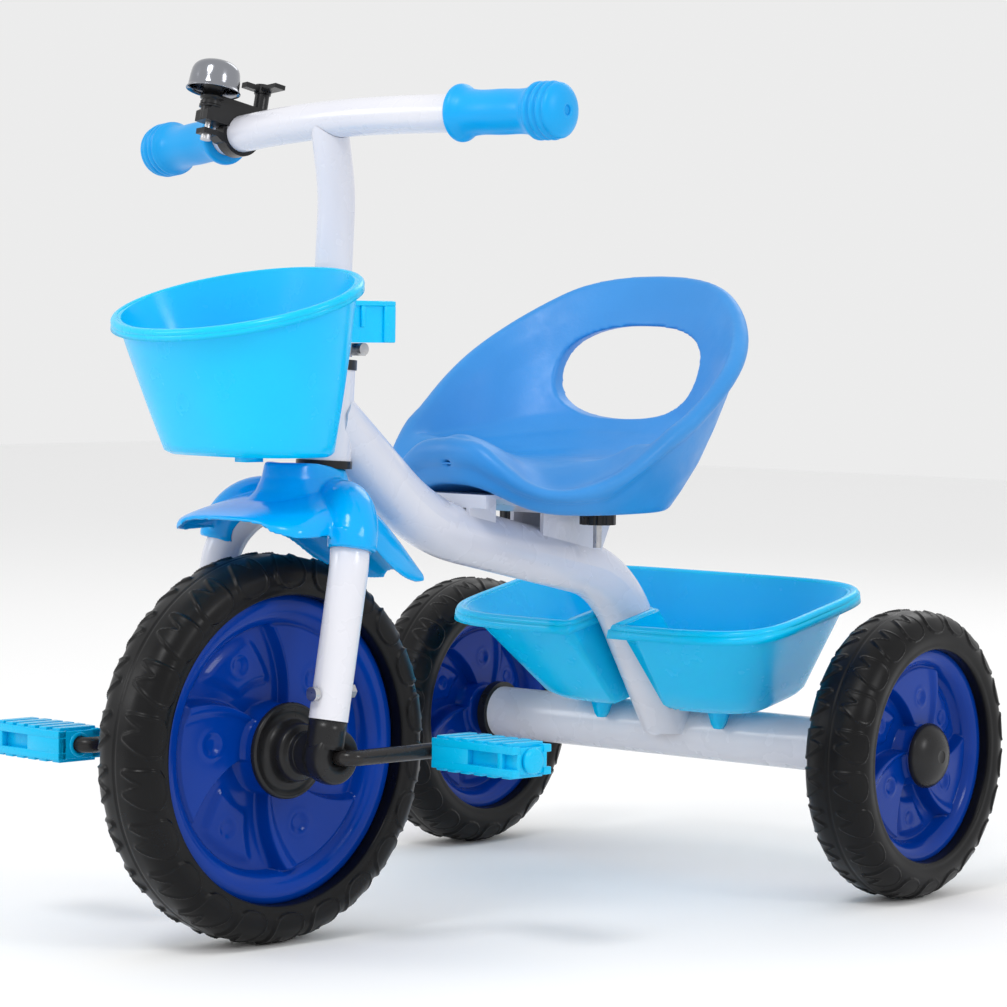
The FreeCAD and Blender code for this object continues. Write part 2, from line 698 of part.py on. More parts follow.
def bell_bolt_room():
    return rod(Vector(0, DOME_FORWARD, -30), Vector(0, DOME_FORWARD, 9), 2.0)


def bell_base():
    """Upper half of the bar clamp with the dome post and the lever post."""
    wide = BELL_HALF_WIDTH
    block = side_prism([(-30, 2), (-30, 9), (-22, 15), (-6, 17), (8, 17), (14, 10), (15, 2)], wide)
    post = rod(Vector(0, DOME_FORWARD, 3), Vector(0, DOME_FORWARD, DOME_BASE + DOME_HEIGHT - 4), 6.2)
    collar = rod(Vector(0, DOME_FORWARD, 13), Vector(0, DOME_FORWARD, 15.5), 7.2)
    arm = box((-5, DOME_FORWARD, 16), (5, LEVER_BACK, 20.5))
    lever_post = rod(Vector(0, LEVER_BACK, 14), Vector(0, LEVER_BACK, LEVER_POST_TOP), 4.8)
    solid = fuse_all([block, post, collar, arm, lever_post])
    return solid.cut(bell_bar_room()).cut(bell_bolt_room())


def bell_strap():
    """Lower half of the clamp: a curved strap under the bar with an ear in front."""
    ring = pipe(Vector(-5, 0, 0), Vector(5, 0, 0), BAR_RADIUS + 2.6, BAR_RADIUS)
    lower = box((-8, -20, -20), (8, 20, 1.5))
    ear = side_prism([(-29, -6.5), (-29, -3), (-10, -3), (-8, -9), (-14, -9), (-19, -6.5)], 5)
    return ring.common(lower).fuse(ear).cut(bell_bar_room()).cut(bell_bolt_room())


def bell_bolt():
    shank = rod(Vector(0, DOME_FORWARD, -10), Vector(0, DOME_FORWARD, 9), 2.0)
    head = rod(Vector(0, DOME_FORWARD, -10), Vector(0, DOME_FORWARD, -6.5), 3.6)
    return shank.fuse(head)


def bell_dome():
    """Struck shell with a flared lip, open below."""
    outline = [(0, 0), (8, -0.4), (13.2, -2.6), (15.8, -6.5), (16.6, -12), (16.8, -18.5), (17.7, -20.5),
               (16.8, -20.5), (15.8, -18), (15.5, -12), (14.7, -7), (12.4, -3.9), (7.8, -1.6), (0, -1.2)]
    points = [Vector(radius, 0, height) for radius, height in outline]
    dome = Part.Face(Part.makePolygon(points + points[:1])).revolve(Vector(0, 0, 0), Z_AXIS, 360)
    dome.translate(Vector(0, DOME_FORWARD, DOME_BASE + DOME_HEIGHT))
    return dome


def bell_dome_screw():
    top = DOME_BASE + DOME_HEIGHT - 1.4
    return rod(Vector(0, DOME_FORWARD, top - 2.6), Vector(0, DOME_FORWARD, top), 3.0)


def bell_lever():
    """Thumb lever that turns on top of the second post, with a hammer end near the dome."""
    base = LEVER_POST_TOP + BODY_GAP
    hub = rod(Vector(0, 0, base), Vector(0, 0, base + LEVER_HUB_HEIGHT), 5.6)
    arm = box((0, -4, base + 1.5), (20, 4, base + 4.5))
    hammer = box((-3, -15, base + 1), (3, 0, base + 4.5))
    lever = fuse_all([hub, arm, hammer])
    lever.translate(Vector(0, LEVER_BACK, 0))
    dome_room = rod(Vector(0, DOME_FORWARD, base - 9), Vector(0, DOME_FORWARD, base + 15), 19.0)
    return lever.cut(dome_room)


# ---------------------------------------------------------------- wheels

def tyre(radius, half_width, lip, seat_radius, centre):
    """Moulded ring with rounded shoulders, shoulder grooves and a recess for the rim."""
    shoulder = 12.0
    outline = [
        (lip, -half_width + 2), (lip + 3, -half_width), (radius - shoulder, -half_width),
        (radius - 4, -half_width + 5), (radius - 0.7, -half_width + shoulder), (radius, -4),
        (radius, 4), (radius - 0.7, half_width - shoulder), (radius - 4, half_width - 5),
        (radius - shoulder, half_width), (lip + 3, half_width), (lip, half_width - 2),
        (lip, half_width - 5), (seat_radius, half_width - 5.5), (seat_radius, -half_width + 5.5),
        (lip, -half_width + 5),
    ]
    return revolve_x(outline, centre)


def rim_half(seat_radius, half_width, face, hub_radius, hub_face, bore, centre):
    """Left half of a rim: a drum under the tyre, a web with five round pads and a hub."""
    depth = half_width - 5.5
    outline = [
        (bore, 0.1), (seat_radius, 0.1), (seat_radius, depth), (seat_radius - 4, depth),
        (seat_radius - 5, face), (seat_radius - 14, face), (seat_radius - 18, face - 8),
        (hub_radius + 3, face - 9),
        (hub_radius, face - 4), (hub_radius, hub_face), (bore, hub_face),
    ]
    half = revolve_x(outline, Vector(0, 0, 0))
    pads = 5
    ring_radius = (hub_radius + seat_radius - 14) / 2
    for index in range(pads):
        angle = 2 * math.pi * index / pads
        place = Vector(face - 9.5, ring_radius * math.cos(angle), ring_radius * math.sin(angle))
        half = half.fuse(Part.makeCylinder(9.0, 6.0, place, X_AXIS))
    half = half.removeSplitter()
    half.translate(centre)
    return half


def front_centre():
    return Vector(0, FRONT_AXLE_Y, FRONT_RADIUS)


def front_tyre():
    return tyre(FRONT_RADIUS, FRONT_HALF_WIDTH, FRONT_LIP_RADIUS, FRONT_LIP_RADIUS + 1.4, front_centre())


def front_rim():
    return rim_half(FRONT_LIP_RADIUS + 1.4, FRONT_HALF_WIDTH, 12.3, 28.0, 20.0,
                    AXLE_ROD_RADIUS, front_centre())


def hub_flange():
    """Stepped black cone between the front rim and the bearing block."""
    outline = [
        (AXLE_ROD_RADIUS, 20.0), (30.5, 20.0), (30.5, 23.5), (26, 26), (21, 27.5), (18.5, 31),
        (18.5, 37), (15, 39.5), (15, 41.5), (AXLE_ROD_RADIUS, 41.5),
    ]
    return revolve_x(outline, front_centre())


def crank_axle():
    """One bent bar: the front axle with a crank arm and a pedal pin at each end."""
    axle = front_centre()
    out = Vector(CRANK_ARM_X, 0, 0)
    rearward = Vector(0, CRANK_THROW, 0)
    pin_end = Vector(PEDAL_OUTER_X - 6, 0, 0)
    left = [axle, axle + out, axle + out + rearward, axle + pin_end + rearward]
    right = [axle, axle - out, axle - out - rearward, axle - pin_end - rearward]
    arms = [sweep(bent_path(points, [7.0, 7.0]), AXLE_ROD_RADIUS) for points in (left, right)]
    return arms[0].fuse(arms[1]).removeSplitter()


def pedal_centre(side):
    return front_centre() + Vector(0, side * CRANK_THROW, 0)


def pedal(side):
    """Block pedal on the crank pin: stepped tread on both faces and a window in each side."""
    centre = pedal_centre(side)
    inner = min(side * PEDAL_INNER_X, side * PEDAL_OUTER_X)
    outer = max(side * PEDAL_INNER_X, side * PEDAL_OUTER_X)
    low = (inner, centre.y - PEDAL_HALF_DEPTH, centre.z - PEDAL_HALF_HEIGHT + 2)
    high = (outer, centre.y + PEDAL_HALF_DEPTH, centre.z + PEDAL_HALF_HEIGHT - 2)
    body = box(low, high)
    ribs = 5
    pitch = (outer - inner) / ribs
    for index in range(ribs):
        start = inner + pitch * index + 3
        body = body.fuse(box((start, low[1], centre.z - PEDAL_HALF_HEIGHT),
                             (start + pitch - 6, high[1], centre.z + PEDAL_HALF_HEIGHT)))
    middle = (inner + outer) / 2
    for sign in (-1, 1):
        front = centre.y + sign * PEDAL_HALF_DEPTH
        body = body.cut(box((middle - 14, front - 5, centre.z - 4), (middle + 22, front + 5, centre.z + 4)))
    bore = rod(Vector(inner - 5, centre.y, centre.z), Vector(outer + 5, centre.y, centre.z),
               AXLE_ROD_RADIUS + RUNNING_CLEARANCE)
    return body.removeSplitter().cut(bore)


def pedal_cap(side):
    """Round plug that closes the outer end of a pedal over the pin."""
    centre = pedal_centre(side)
    inside = Vector(side * (PEDAL_OUTER_X - 4), centre.y, centre.z)
    face = Vector(side * PEDAL_OUTER_X, centre.y, centre.z)
    outside = Vector(side * (PEDAL_OUTER_X + 3), centre.y, centre.z)
    return rod(inside, face, AXLE_ROD_RADIUS).fuse(rod(face, outside, 8.0))


def rear_centre():
    return Vector(REAR_TRACK_HALF, 0, REAR_RADIUS)


def rear_tyre():
    return tyre(REAR_RADIUS, REAR_HALF_WIDTH, REAR_LIP_RADIUS, REAR_LIP_RADIUS + 2.9, rear_centre())


def rear_rim_outer():
    return rim_half(REAR_LIP_RADIUS + 2.9, REAR_HALF_WIDTH, 14.6, 20.0, 16.0,
                    AXLE_ROD_RADIUS + RUNNING_CLEARANCE, rear_centre())


def rear_rim_inner():
    inner = rim_half(REAR_LIP_RADIUS + 2.9, REAR_HALF_WIDTH, 14.6, 20.0, 16.0,
                     AXLE_ROD_RADIUS + RUNNING_CLEARANCE, Vector(0, 0, 0)).mirror(Vector(0, 0, 0), X_AXIS)
    inner.translate(rear_centre())
    return inner


def hub_cap():
    """Domed cap over the axle end."""
    outline = [(0, 26), (0, 29), (8, 28.3), (16, 25.5), (20.5, 21.5), (22.5, 17), (22.5, 16), (19.5, 16),
               (18, 21), (13, 24.5)]
    return revolve_x(outline, rear_centre())


# ---------------------------------------------------------------- all sub-parts

def save_pair(left_name, right_name, left, write):
    """Write a left piece and its mirror image."""
    write(left_name, left)
    write(right_name, mirrored(left))


def build_frame():
    save("main_beam", main_beam())
    save("head_tube", head_tube())
    save("rear_axle_tube", rear_axle_tube())
    save("rear_axle_rod", rear_axle_rod())
    save("axle_push_nuts", axle_push_nuts())
    save_pair("axle_bush_left", "axle_bush_right", axle_bush(), save)
    save("headset_lower", headset_ring(299.0, HEAD_TUBE_LOW, HEAD_TUBE_LOW, HEAD_TUBE_LOW + 12))
    save("headset_upper", headset_ring(HEAD_TUBE_HIGH, 368.5, HEAD_TUBE_HIGH - 12, HEAD_TUBE_HIGH))
    solid_beam = sweep(bent_path(BEAM_POINTS, BEAM_BENDS), BEAM_RADIUS)
    save("seat_bracket_front", seat_bracket_front().cut(solid_beam))
    save("seat_bracket_rear", seat_bracket_rear().cut(solid_beam))
    save("seat", seat())
    save("seat_studs", seat_studs())
    save("seat_knob_left", seat_knob(SEAT_STUD_X))
    save("seat_knob_right", seat_knob(-SEAT_STUD_X))
    save("rear_basket", rear_basket())
    save("rear_basket_screws", rear_basket_screws())


def build_steering():
    save_steered("steerer_tube", steerer_tube())
    save_pair("fork_leg_left", "fork_leg_right", bolt_holes(fork_leg()), save_steered)
    save_pair("bearing_block_left", "bearing_block_right", bearing_block(), save_steered)
    save_steered("fork_bolts", fork_bolts())
    save_steered("fork_nuts", fork_nuts())
    save_steered("handlebar_stem", handlebar_stem())
    save_steered("stem_clamp", stem_clamp())
    save_steered("stem_clamp_bolt", stem_clamp_bolt())
    save_steered("handlebar", handlebar())
    save_steered("grip_left", grip(1))
    save_steered("grip_right", grip(-1))
    save_steered("front_basket", front_basket())
    save_steered("basket_clip", basket_clip())
    save_steered("basket_screws", basket_screws())
    save_steered("mudguard", mudguard())
    save_steered("bell_base", on_bar(bell_base()))
    save_steered("bell_strap", on_bar(bell_strap()))
    save_steered("bell_bolt", on_bar(bell_bolt()))
    save_steered("bell_dome", on_bar(bell_dome()))
    save_steered("bell_dome_screw", on_bar(bell_dome_screw()))
    save_steered("bell_lever", on_bar(bell_lever()))


def build_front_wheel():
    save_steered("front_tyre", front_tyre())
    save_pair("front_rim_left", "front_rim_right", front_rim(), save_steered)
    save_pair("hub_flange_left", "hub_flange_right", hub_flange(), save_steered)
    save_steered("crank_axle", crank_axle())
    for name, side in (("left", 1), ("right", -1)):
        save_steered("pedal_" + name, pedal(side))
        save_steered("pedal_cap_" + name, pedal_cap(side))


def build_rear_wheels():
    save_pair("rear_tyre_left", "rear_tyre_right", rear_tyre(), save)
    save_pair("rear_rim_outer_left", "rear_rim_outer_right", rear_rim_outer(), save)
    save_pair("rear_rim_inner_left", "rear_rim_inner_right", rear_rim_inner(), save)
    save_pair("hub_cap_left", "hub_cap_right", hub_cap(), save)


os.makedirs("parts", exist_ok=True)
build_frame()
build_steering()
build_front_wheel()
build_rear_wheels()
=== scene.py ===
import json
import math

import bmesh
import bpy
from mathutils import Matrix, Vector


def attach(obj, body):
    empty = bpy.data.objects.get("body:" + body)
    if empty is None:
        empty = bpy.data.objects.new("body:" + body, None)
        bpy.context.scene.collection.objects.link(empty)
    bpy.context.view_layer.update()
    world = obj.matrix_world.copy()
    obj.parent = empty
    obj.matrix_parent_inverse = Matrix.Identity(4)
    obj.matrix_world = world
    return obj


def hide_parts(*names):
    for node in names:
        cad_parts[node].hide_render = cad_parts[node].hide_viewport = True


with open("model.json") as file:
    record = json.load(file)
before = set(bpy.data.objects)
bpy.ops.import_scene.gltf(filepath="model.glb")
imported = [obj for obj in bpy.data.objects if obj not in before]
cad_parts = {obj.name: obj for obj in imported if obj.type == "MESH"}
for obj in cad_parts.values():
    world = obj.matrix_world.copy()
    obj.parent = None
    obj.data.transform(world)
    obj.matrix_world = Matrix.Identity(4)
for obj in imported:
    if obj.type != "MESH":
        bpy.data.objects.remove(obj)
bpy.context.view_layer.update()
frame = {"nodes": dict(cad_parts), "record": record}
MM = 0.001

# Small lengths below are in millimetres. Points are given from the middle of the rear axle's
# line on the floor: x to the rider's left, y backwards, z up. make_object() turns them into metres.
JOINTS = {joint["name"]: joint for joint in frame["record"]["behaviour"]["joints"]}
REAR_AXLE_Y = JOINTS["rear_wheel_left_spin"]["pos_m"][1]
HEAD = Vector(JOINTS["steering"]["pos_m"])
HEAD_AXIS = Vector(JOINTS["steering"]["axis"])
FRONT_CENTRE = Vector(JOINTS["front_wheel_spin"]["pos_m"])
FRONT_AXIS = Vector(JOINTS["front_wheel_spin"]["axis"])
REST_STEER = -math.acos(FRONT_AXIS.x)
BACK = Matrix.Translation((0, REAR_AXLE_Y, 0))
STEERED = (Matrix.Translation(HEAD) @ Matrix.Rotation(REST_STEER, 4, HEAD_AXIS)
           @ Matrix.Translation(-HEAD) @ BACK)


# ---------------------------------------------------------------- curves and numbers

def smooth(low, high, value):
    """0 below low, 1 above high and an S-curve between."""
    t = min(max((value - low) / (high - low), 0.0), 1.0)
    return t * t * (3 - 2 * t)


def bell_curve(value, width):
    return math.exp(-(value / width) ** 2)


def along(table, value):
    """Smooth value from a short table of (position, value) pairs."""
    if value <= table[0][0]:
        return table[0][1]
    for (x0, y0), (x1, y1) in zip(table, table[1:]):
        if value <= x1:
            index = table.index((x0, y0))
            before = table[max(index - 1, 0)]
            after = table[min(index + 2, len(table) - 1)]
            slope0 = (y1 - before[1]) / (x1 - before[0])
            slope1 = (after[1] - y0) / (after[0] - x0)
            t = (value - x0) / (x1 - x0)
            span = x1 - x0
            return ((2 * t ** 3 - 3 * t ** 2 + 1) * y0 + (t ** 3 - 2 * t ** 2 + t) * slope0 * span
                    + (3 * t ** 2 - 2 * t ** 3) * y1 + (t ** 3 - t ** 2) * slope1 * span)
    return table[-1][1]


def power_curve(angle, half_x, half_y, power):
    """Point of a superellipse."""
    cosine = math.cos(angle)
    sine = math.sin(angle)
    return (half_x * math.copysign(abs(cosine) ** (2 / power), cosine),
            half_y * math.copysign(abs(sine) ** (2 / power), sine))


def turned(count):
    return [2 * math.pi * step / count for step in range(count)]


def catmull(points, parts):
    """Open smooth curve through 2-D or 3-D points."""
    points = [Vector(point) for point in points]
    padded = [points[0] * 2 - points[1]] + points + [points[-1] * 2 - points[-2]]
    curve = []
    for a, b, c, d in zip(padded, padded[1:], padded[2:], padded[3:]):
        for step in range(parts):
            t = step / parts
            curve.append(0.5 * (2 * b + (c - a) * t + (2 * a - 5 * b + 4 * c - d) * t ** 2
                                + (3 * b - a - 3 * c + d) * t ** 3))
    curve.append(points[-1])
    return curve


# ---------------------------------------------------------------- meshes

def make_object(name, vertices, faces, matrix):
    mesh = bpy.data.meshes.new(name)
    mesh.from_pydata([matrix @ (Vector(vertex) * MM) for vertex in vertices], [], faces)
    mesh.validate()
    mesh.shade_smooth()
    thing = bpy.data.objects.new(name, mesh)
    bpy.context.scene.collection.objects.link(thing)
    return thing


def skin(rows, close_rows=False, close_columns=True, caps=False):
    """Vertices and faces of a surface through equally long rows of points."""
    count = len(rows)
    width = len(rows[0])
    vertices = [point for row in rows for point in row]
    faces = []
    for i in range(count if close_rows else count - 1):
        for j in range(width if close_columns else width - 1):
            a = i * width + j
            b = i * width + (j + 1) % width
            c = ((i + 1) % count) * width + (j + 1) % width
            d = ((i + 1) % count) * width + j
            faces.append((a, b, c, d))
    if caps:
        faces.append(tuple(range(width - 1, -1, -1)))
        faces.append(tuple((count - 1) * width + j for j in range(width)))
    return vertices, faces


def lathe(profile, steps=96, closed=True):
    """Surface of (x, radius) points turned about the X axis."""
    rows = []
    for angle in turned(steps):
        rows.append([(x, radius * math.cos(angle), radius * math.sin(angle)) for x, radius in profile])
    return skin(rows, close_rows=True, close_columns=closed)


def tube(points, radius, closed=False, sides=14):
    """Round bar along a line of points; radius is a number or one number per point."""
    count = len(points)
    points = [Vector(point) for point in points]
    radii = radius if isinstance(radius, list) else [radius] * count
    rows = []
    normal = None
    for index, point in enumerate(points):
        ahead = points[(index + 1) % count] if closed or index < count - 1 else point
        behind = points[index - 1] if closed or index > 0 else point
        tangent = (ahead - behind).normalized()
        if normal is None:
            normal = tangent.orthogonal().normalized()
        normal = (normal - tangent * normal.dot(tangent)).normalized()
        across = tangent.cross(normal)
        rows.append([point + (normal * math.cos(angle) + across * math.sin(angle)) * radii[index]
                     for angle in turned(sides)])
    if closed:
        twist = min(range(sides), key=lambda shift: (rows[-1][shift] - rows[0][0]).length)
        rows[-1] = rows[-1][twist:] + rows[-1][:twist]
    return skin(rows, close_rows=closed, caps=not closed)


def joined(parts):
    """One mesh from several (vertices, faces) pairs."""
    vertices = []
    faces = []
    for part_vertices, part_faces in parts:
        start = len(vertices)
        vertices.extend(part_vertices)
        faces.extend(tuple(start + index for index in face) for face in part_faces)
    return vertices, faces


def block(low, high):
    """Six-sided block between two opposite corners."""
    rows = []
    for z in (low[2], high[2]):
        rows.append([(low[0], low[1], z), (high[0], low[1], z), (high[0], high[1], z), (low[0], high[1], z)])
    return skin(rows, caps=True)


def rounded_corner(before, corner, after, radius, parts=14):
    """Points of the arc that replaces the corner of a bent line."""
    into = (Vector(before) - Vector(corner)).normalized()
    out = (Vector(after) - Vector(corner)).normalized()
    half = into.angle(out) / 2
    centre = Vector(corner) + (into + out).normalized() * radius / math.sin(half)
    first = Vector(corner) + into * radius / math.tan(half) - centre
    last = Vector(corner) + out * radius / math.tan(half) - centre
    return [centre + first.slerp(last, step / parts) * radius for step in range(parts + 1)]


def face_outward(thing):
    """Make the face directions agree and point out of the piece."""
    editor = bmesh.new()
    editor.from_mesh(thing.data)
    bmesh.ops.recalc_face_normals(editor, faces=editor.faces)
    editor.to_mesh(thing.data)
    editor.free()


def piece(name, part, matrix, body, material, nodes=()):
    """Finished piece: a mesh with a material that rides on a body and replaces CAD nodes."""
    thing = make_object(name, part[0], part[1], matrix)
    face_outward(thing)
    thing.data.materials.append(material)
    if nodes:
        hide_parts(*nodes)
    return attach(thing, body)


def soften(thing, width, angle=35, segments=2):
    """Rounded edges on a piece with flat faces."""
    modifier = thing.modifiers.new("edges", "BEVEL")
    modifier.width = width * MM
    modifier.segments = segments
    modifier.limit_method = "ANGLE"
    modifier.angle_limit = math.radians(angle)


def apply_modifiers(thing):
    graph = bpy.context.evaluated_depsgraph_get()
    thing.data = bpy.data.meshes.new_from_object(thing.evaluated_get(graph))
    thing.modifiers.clear()


def cut_away(thing, part, matrix):
    """Cut a closed part out of a piece."""
    cutter = make_object("cutter", part[0], part[1], matrix)
    face_outward(cutter)
    modifier = thing.modifiers.new("cut", "BOOLEAN")
    modifier.operation = "DIFFERENCE"
    modifier.solver = "EXACT"
    modifier.object = cutter
    apply_modifiers(thing)
    bpy.data.objects.remove(cutter)


def melt(thing, grain, passes):
    """Join overlapping closed parts into one skin and soften its corners."""
    remesh = thing.modifiers.new("melt", "REMESH")
    remesh.mode = "VOXEL"
    remesh.voxel_size = grain * MM
    blend = thing.modifiers.new("blend", "SMOOTH")
    blend.factor = 0.5
    blend.iterations = passes
    apply_modifiers(thing)


def finish_moulding(thing, slot, node, body):
    """Material, slot and body for a piece that was cut and melted."""
    thing.data.materials.clear()
    thing.data.materials.append(MATERIALS[slot])
    thing.data.shade_smooth()
    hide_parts(node)
    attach(thing, body)


# ---------------------------------------------------------------- materials

def new_material(name, colour, roughness):
    material = bpy.data.materials.new(name)
    material.use_nodes = True
    shader = material.node_tree.nodes["Principled BSDF"]
    shader.inputs["Base Color"].default_value = (*colour, 1)
    shader.inputs["Roughness"].default_value = roughness
    return material, shader


def add_noise(material, scale, detail=3.0, stretch=(1, 1, 1)):
    """Noise value fixed to the object."""
    nodes = material.node_tree.nodes
    links = material.node_tree.links
    place = nodes.new("ShaderNodeTexCoord")
    mapping = nodes.new("ShaderNodeMapping")
    mapping.inputs["Scale"].default_value = stretch
    texture = nodes.new("ShaderNodeTexNoise")
    texture.inputs["Scale"].default_value = scale
    texture.inputs["Detail"].default_value = detail
    links.new(place.outputs["Object"], mapping.inputs["Vector"])
    links.new(mapping.outputs["Vector"], texture.inputs["Vector"])
    return texture.outputs["Fac"]


def vary_roughness(material, shader, source, low, high):
    nodes = material.node_tree.nodes
    spread = nodes.new("ShaderNodeMapRange")
    spread.inputs["From Min"].default_value = 0.3
    spread.inputs["From Max"].default_value = 0.7
    spread.inputs["To Min"].default_value = low
    spread.inputs["To Max"].default_value = high
    material.node_tree.links.new(source, spread.inputs["Value"])
    material.node_tree.links.new(spread.outputs["Result"], shader.inputs["Roughness"])


def vary_colour(material, shader, source, dark, light):
    nodes = material.node_tree.nodes
    mix = nodes.new("ShaderNodeValToRGB")
    mix.color_ramp.elements[0].position = 0.3
    mix.color_ramp.elements[0].color = (*dark, 1)
    mix.color_ramp.elements[1].position = 0.7
    mix.color_ramp.elements[1].color = (*light, 1)
    material.node_tree.links.new(source, mix.inputs["Fac"])
    material.node_tree.links.new(mix.outputs["Color"], shader.inputs["Base Color"])


def add_bump(material, shader, source, strength, distance):
    nodes = material.node_tree.nodes
    bump = nodes.new("ShaderNodeBump")
    bump.inputs["Strength"].default_value = strength
    bump.inputs["Distance"].default_value = distance * MM
    material.node_tree.links.new(source, bump.inputs["Height"])
    material.node_tree.links.new(bump.outputs["Normal"], shader.inputs["Normal"])


def white_enamel():
    """Powder coat with a faint orange peel and a soft lavender white."""
    material, shader = new_material("white_enamel", (0.7, 0.7, 0.76), 0.28)
    cloud = add_noise(material, 6.0, 2.0)
    vary_colour(material, shader, cloud, (0.66, 0.67, 0.75), (0.74, 0.74, 0.79))
    vary_roughness(material, shader, add_noise(material, 40.0), 0.2, 0.34)
    add_bump(material, shader, add_noise(material, 500.0, 2.0), 0.05, 0.05)
    shader.inputs["Coat Weight"].default_value = 0.4
    shader.inputs["Coat Roughness"].default_value = 0.15
    return material


def glossy_plastic(name, dark, light, roughness, grain=900.0):
    """Injection-moulded plastic: slight cloudiness, fine grain and a soft gloss."""
    material, shader = new_material(name, light, roughness)
    vary_colour(material, shader, add_noise(material, 9.0, 2.0), dark, light)
    vary_roughness(material, shader, add_noise(material, 60.0, 4.0), roughness - 0.06, roughness + 0.08)
    add_bump(material, shader, add_noise(material, grain, 2.0), 0.08, 0.08)
    shader.inputs["Specular IOR Level"].default_value = 0.3
    return material


def basket_cyan():
    material = glossy_plastic("basket_cyan", (0.0, 0.52, 0.9), (0.0, 0.58, 0.96), 0.22)
    shader = material.node_tree.nodes["Principled BSDF"]
    shader.inputs["Subsurface Weight"].default_value = 0.2
    shader.inputs["Subsurface Radius"].default_value = (0.0002, 0.003, 0.006)
    shader.inputs["Subsurface Scale"].default_value = 0.5
    return material


def mudguard_blue():
    return glossy_plastic("mudguard_blue", (0.0, 0.37, 0.84), (0.0, 0.42, 0.9), 0.14)


def seat_blue():
    """Blow-moulded shell with a fine pebbled skin."""
    material, shader = new_material("seat_blue", (0.02, 0.2, 0.7), 0.42)
    vary_colour(material, shader, add_noise(material, 12.0, 3.0), (0.02, 0.235, 0.62), (0.026, 0.275, 0.7))
    vary_roughness(material, shader, add_noise(material, 80.0, 4.0), 0.36, 0.5)
    add_bump(material, shader, add_noise(material, 420.0, 4.0), 0.35, 0.25)
    return material


def rim_blue():
    material = glossy_plastic("rim_blue", (0.0, 0.03, 0.25), (0.0, 0.04, 0.32), 0.16)
    material.node_tree.nodes["Principled BSDF"].inputs["Specular IOR Level"].default_value = 0.18
    return material


def grip_blue():
    return glossy_plastic("grip_blue", (0.0, 0.32, 0.74), (0.0, 0.37, 0.82), 0.36, 500.0)


def pedal_cyan():
    return glossy_plastic("pedal_cyan", (0.0, 0.44, 0.76), (0.0, 0.52, 0.86), 0.24)


def tyre_black():
    """Foamed black tyre: satin skin with scuffs that change its gloss."""
    material, shader = new_material("tyre_black", (0.012, 0.012, 0.013), 0.42)
    cloud = add_noise(material, 25.0, 5.0)
    vary_colour(material, shader, cloud, (0.0016, 0.0016, 0.002), (0.004, 0.004, 0.0048))
    vary_roughness(material, shader, add_noise(material, 45.0, 6.0), 0.26, 0.42)
    add_bump(material, shader, add_noise(material, 900.0, 4.0), 0.15, 0.1)
    shader.inputs["Specular IOR Level"].default_value = 0.2
    return material


def black_plastic():
    return glossy_plastic("black_plastic", (0.008, 0.008, 0.009), (0.014, 0.014, 0.015), 0.3, 800.0)


def black_steel():
    """Black paint on the bent crank bar."""
    return glossy_plastic("black_steel", (0.012, 0.011, 0.011), (0.02, 0.018, 0.018), 0.26, 300.0)


def chrome():
    material, shader = new_material("chrome", (0.3, 0.31, 0.34), 0.12)
    shader.inputs["Metallic"].default_value = 1.0
    vary_roughness(material, shader, add_noise(material, 60.0, 5.0), 0.1, 0.24)
    add_bump(material, shader, add_noise(material, 200.0, 2.0), 0.06, 0.05)
    return material


def zinc_steel():
    """Zinc-plated fasteners with a drawn, slightly cloudy surface."""
    material, shader = new_material("zinc_steel", (0.5, 0.5, 0.52), 0.35)
    shader.inputs["Metallic"].default_value = 1.0
    vary_colour(material, shader, add_noise(material, 90.0, 4.0), (0.42, 0.42, 0.45), (0.6, 0.6, 0.6))
    vary_roughness(material, shader, add_noise(material, 120.0, 4.0, (1, 1, 6)), 0.25, 0.45)
    return material


def floor_material():
    return new_material("studio_floor", (0.95, 0.95, 0.95), 0.9)[0]


MATERIALS = {
    "white_enamel": white_enamel(),
    "tyre_black": tyre_black(),
    "rim_blue": rim_blue(),
    "basket_cyan": basket_cyan(),
    "mudguard_blue": mudguard_blue(),
    "seat_blue": seat_blue(),
    "grip_blue": grip_blue(),
    "pedal_cyan": pedal_cyan(),
    "black_plastic": black_plastic(),
    "chrome": chrome(),
    "zinc_steel": zinc_steel(),
    "black_steel": black_steel(),
}


def dress_cad_nodes():
    """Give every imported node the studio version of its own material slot."""
    for subpart in frame["record"]["subparts"]:
        node = frame["nodes"][subpart["node"]]
        node.data.materials.clear()
        node.data.materials.append(MATERIALS[subpart["material_slot"]])
        for polygon in node.data.polygons:
            polygon.material_index = 0


# ---------------------------------------------------------------- wheels

FRONT_RADIUS = 123.4
FRONT_HALF_WIDTH = 24.5
FRONT_LIP = 97.4
REAR_RADIUS = 100.0
REAR_HALF_WIDTH = 24.0
REAR_LIP = 73.2
LUGS = 22
LUG_STEPS = 34
# Outline of one tread lug: (along the tread, across from the centre seam), both in millimetres.
# Two fingers point at the seam and the wide end turns over the shoulder.
LUG_OUTLINE = [(-12.6, 8.0), (-13.2, 9.5), (-12.8, 20), (-12.6, 30), (-11, 34.5), (-6.5, 37.5), (0, 38.5),
               (7, 37.8), (12, 35), (14.2, 31), (13.6, 26), (9.5, 18), (4.2, 9.5), (2.4, 7.0), (0.8, 8.0),
               (-1.4, 14), (-3.2, 20.5), (-4.4, 20.5), (-7.4, 14), (-11.2, 7.6)]


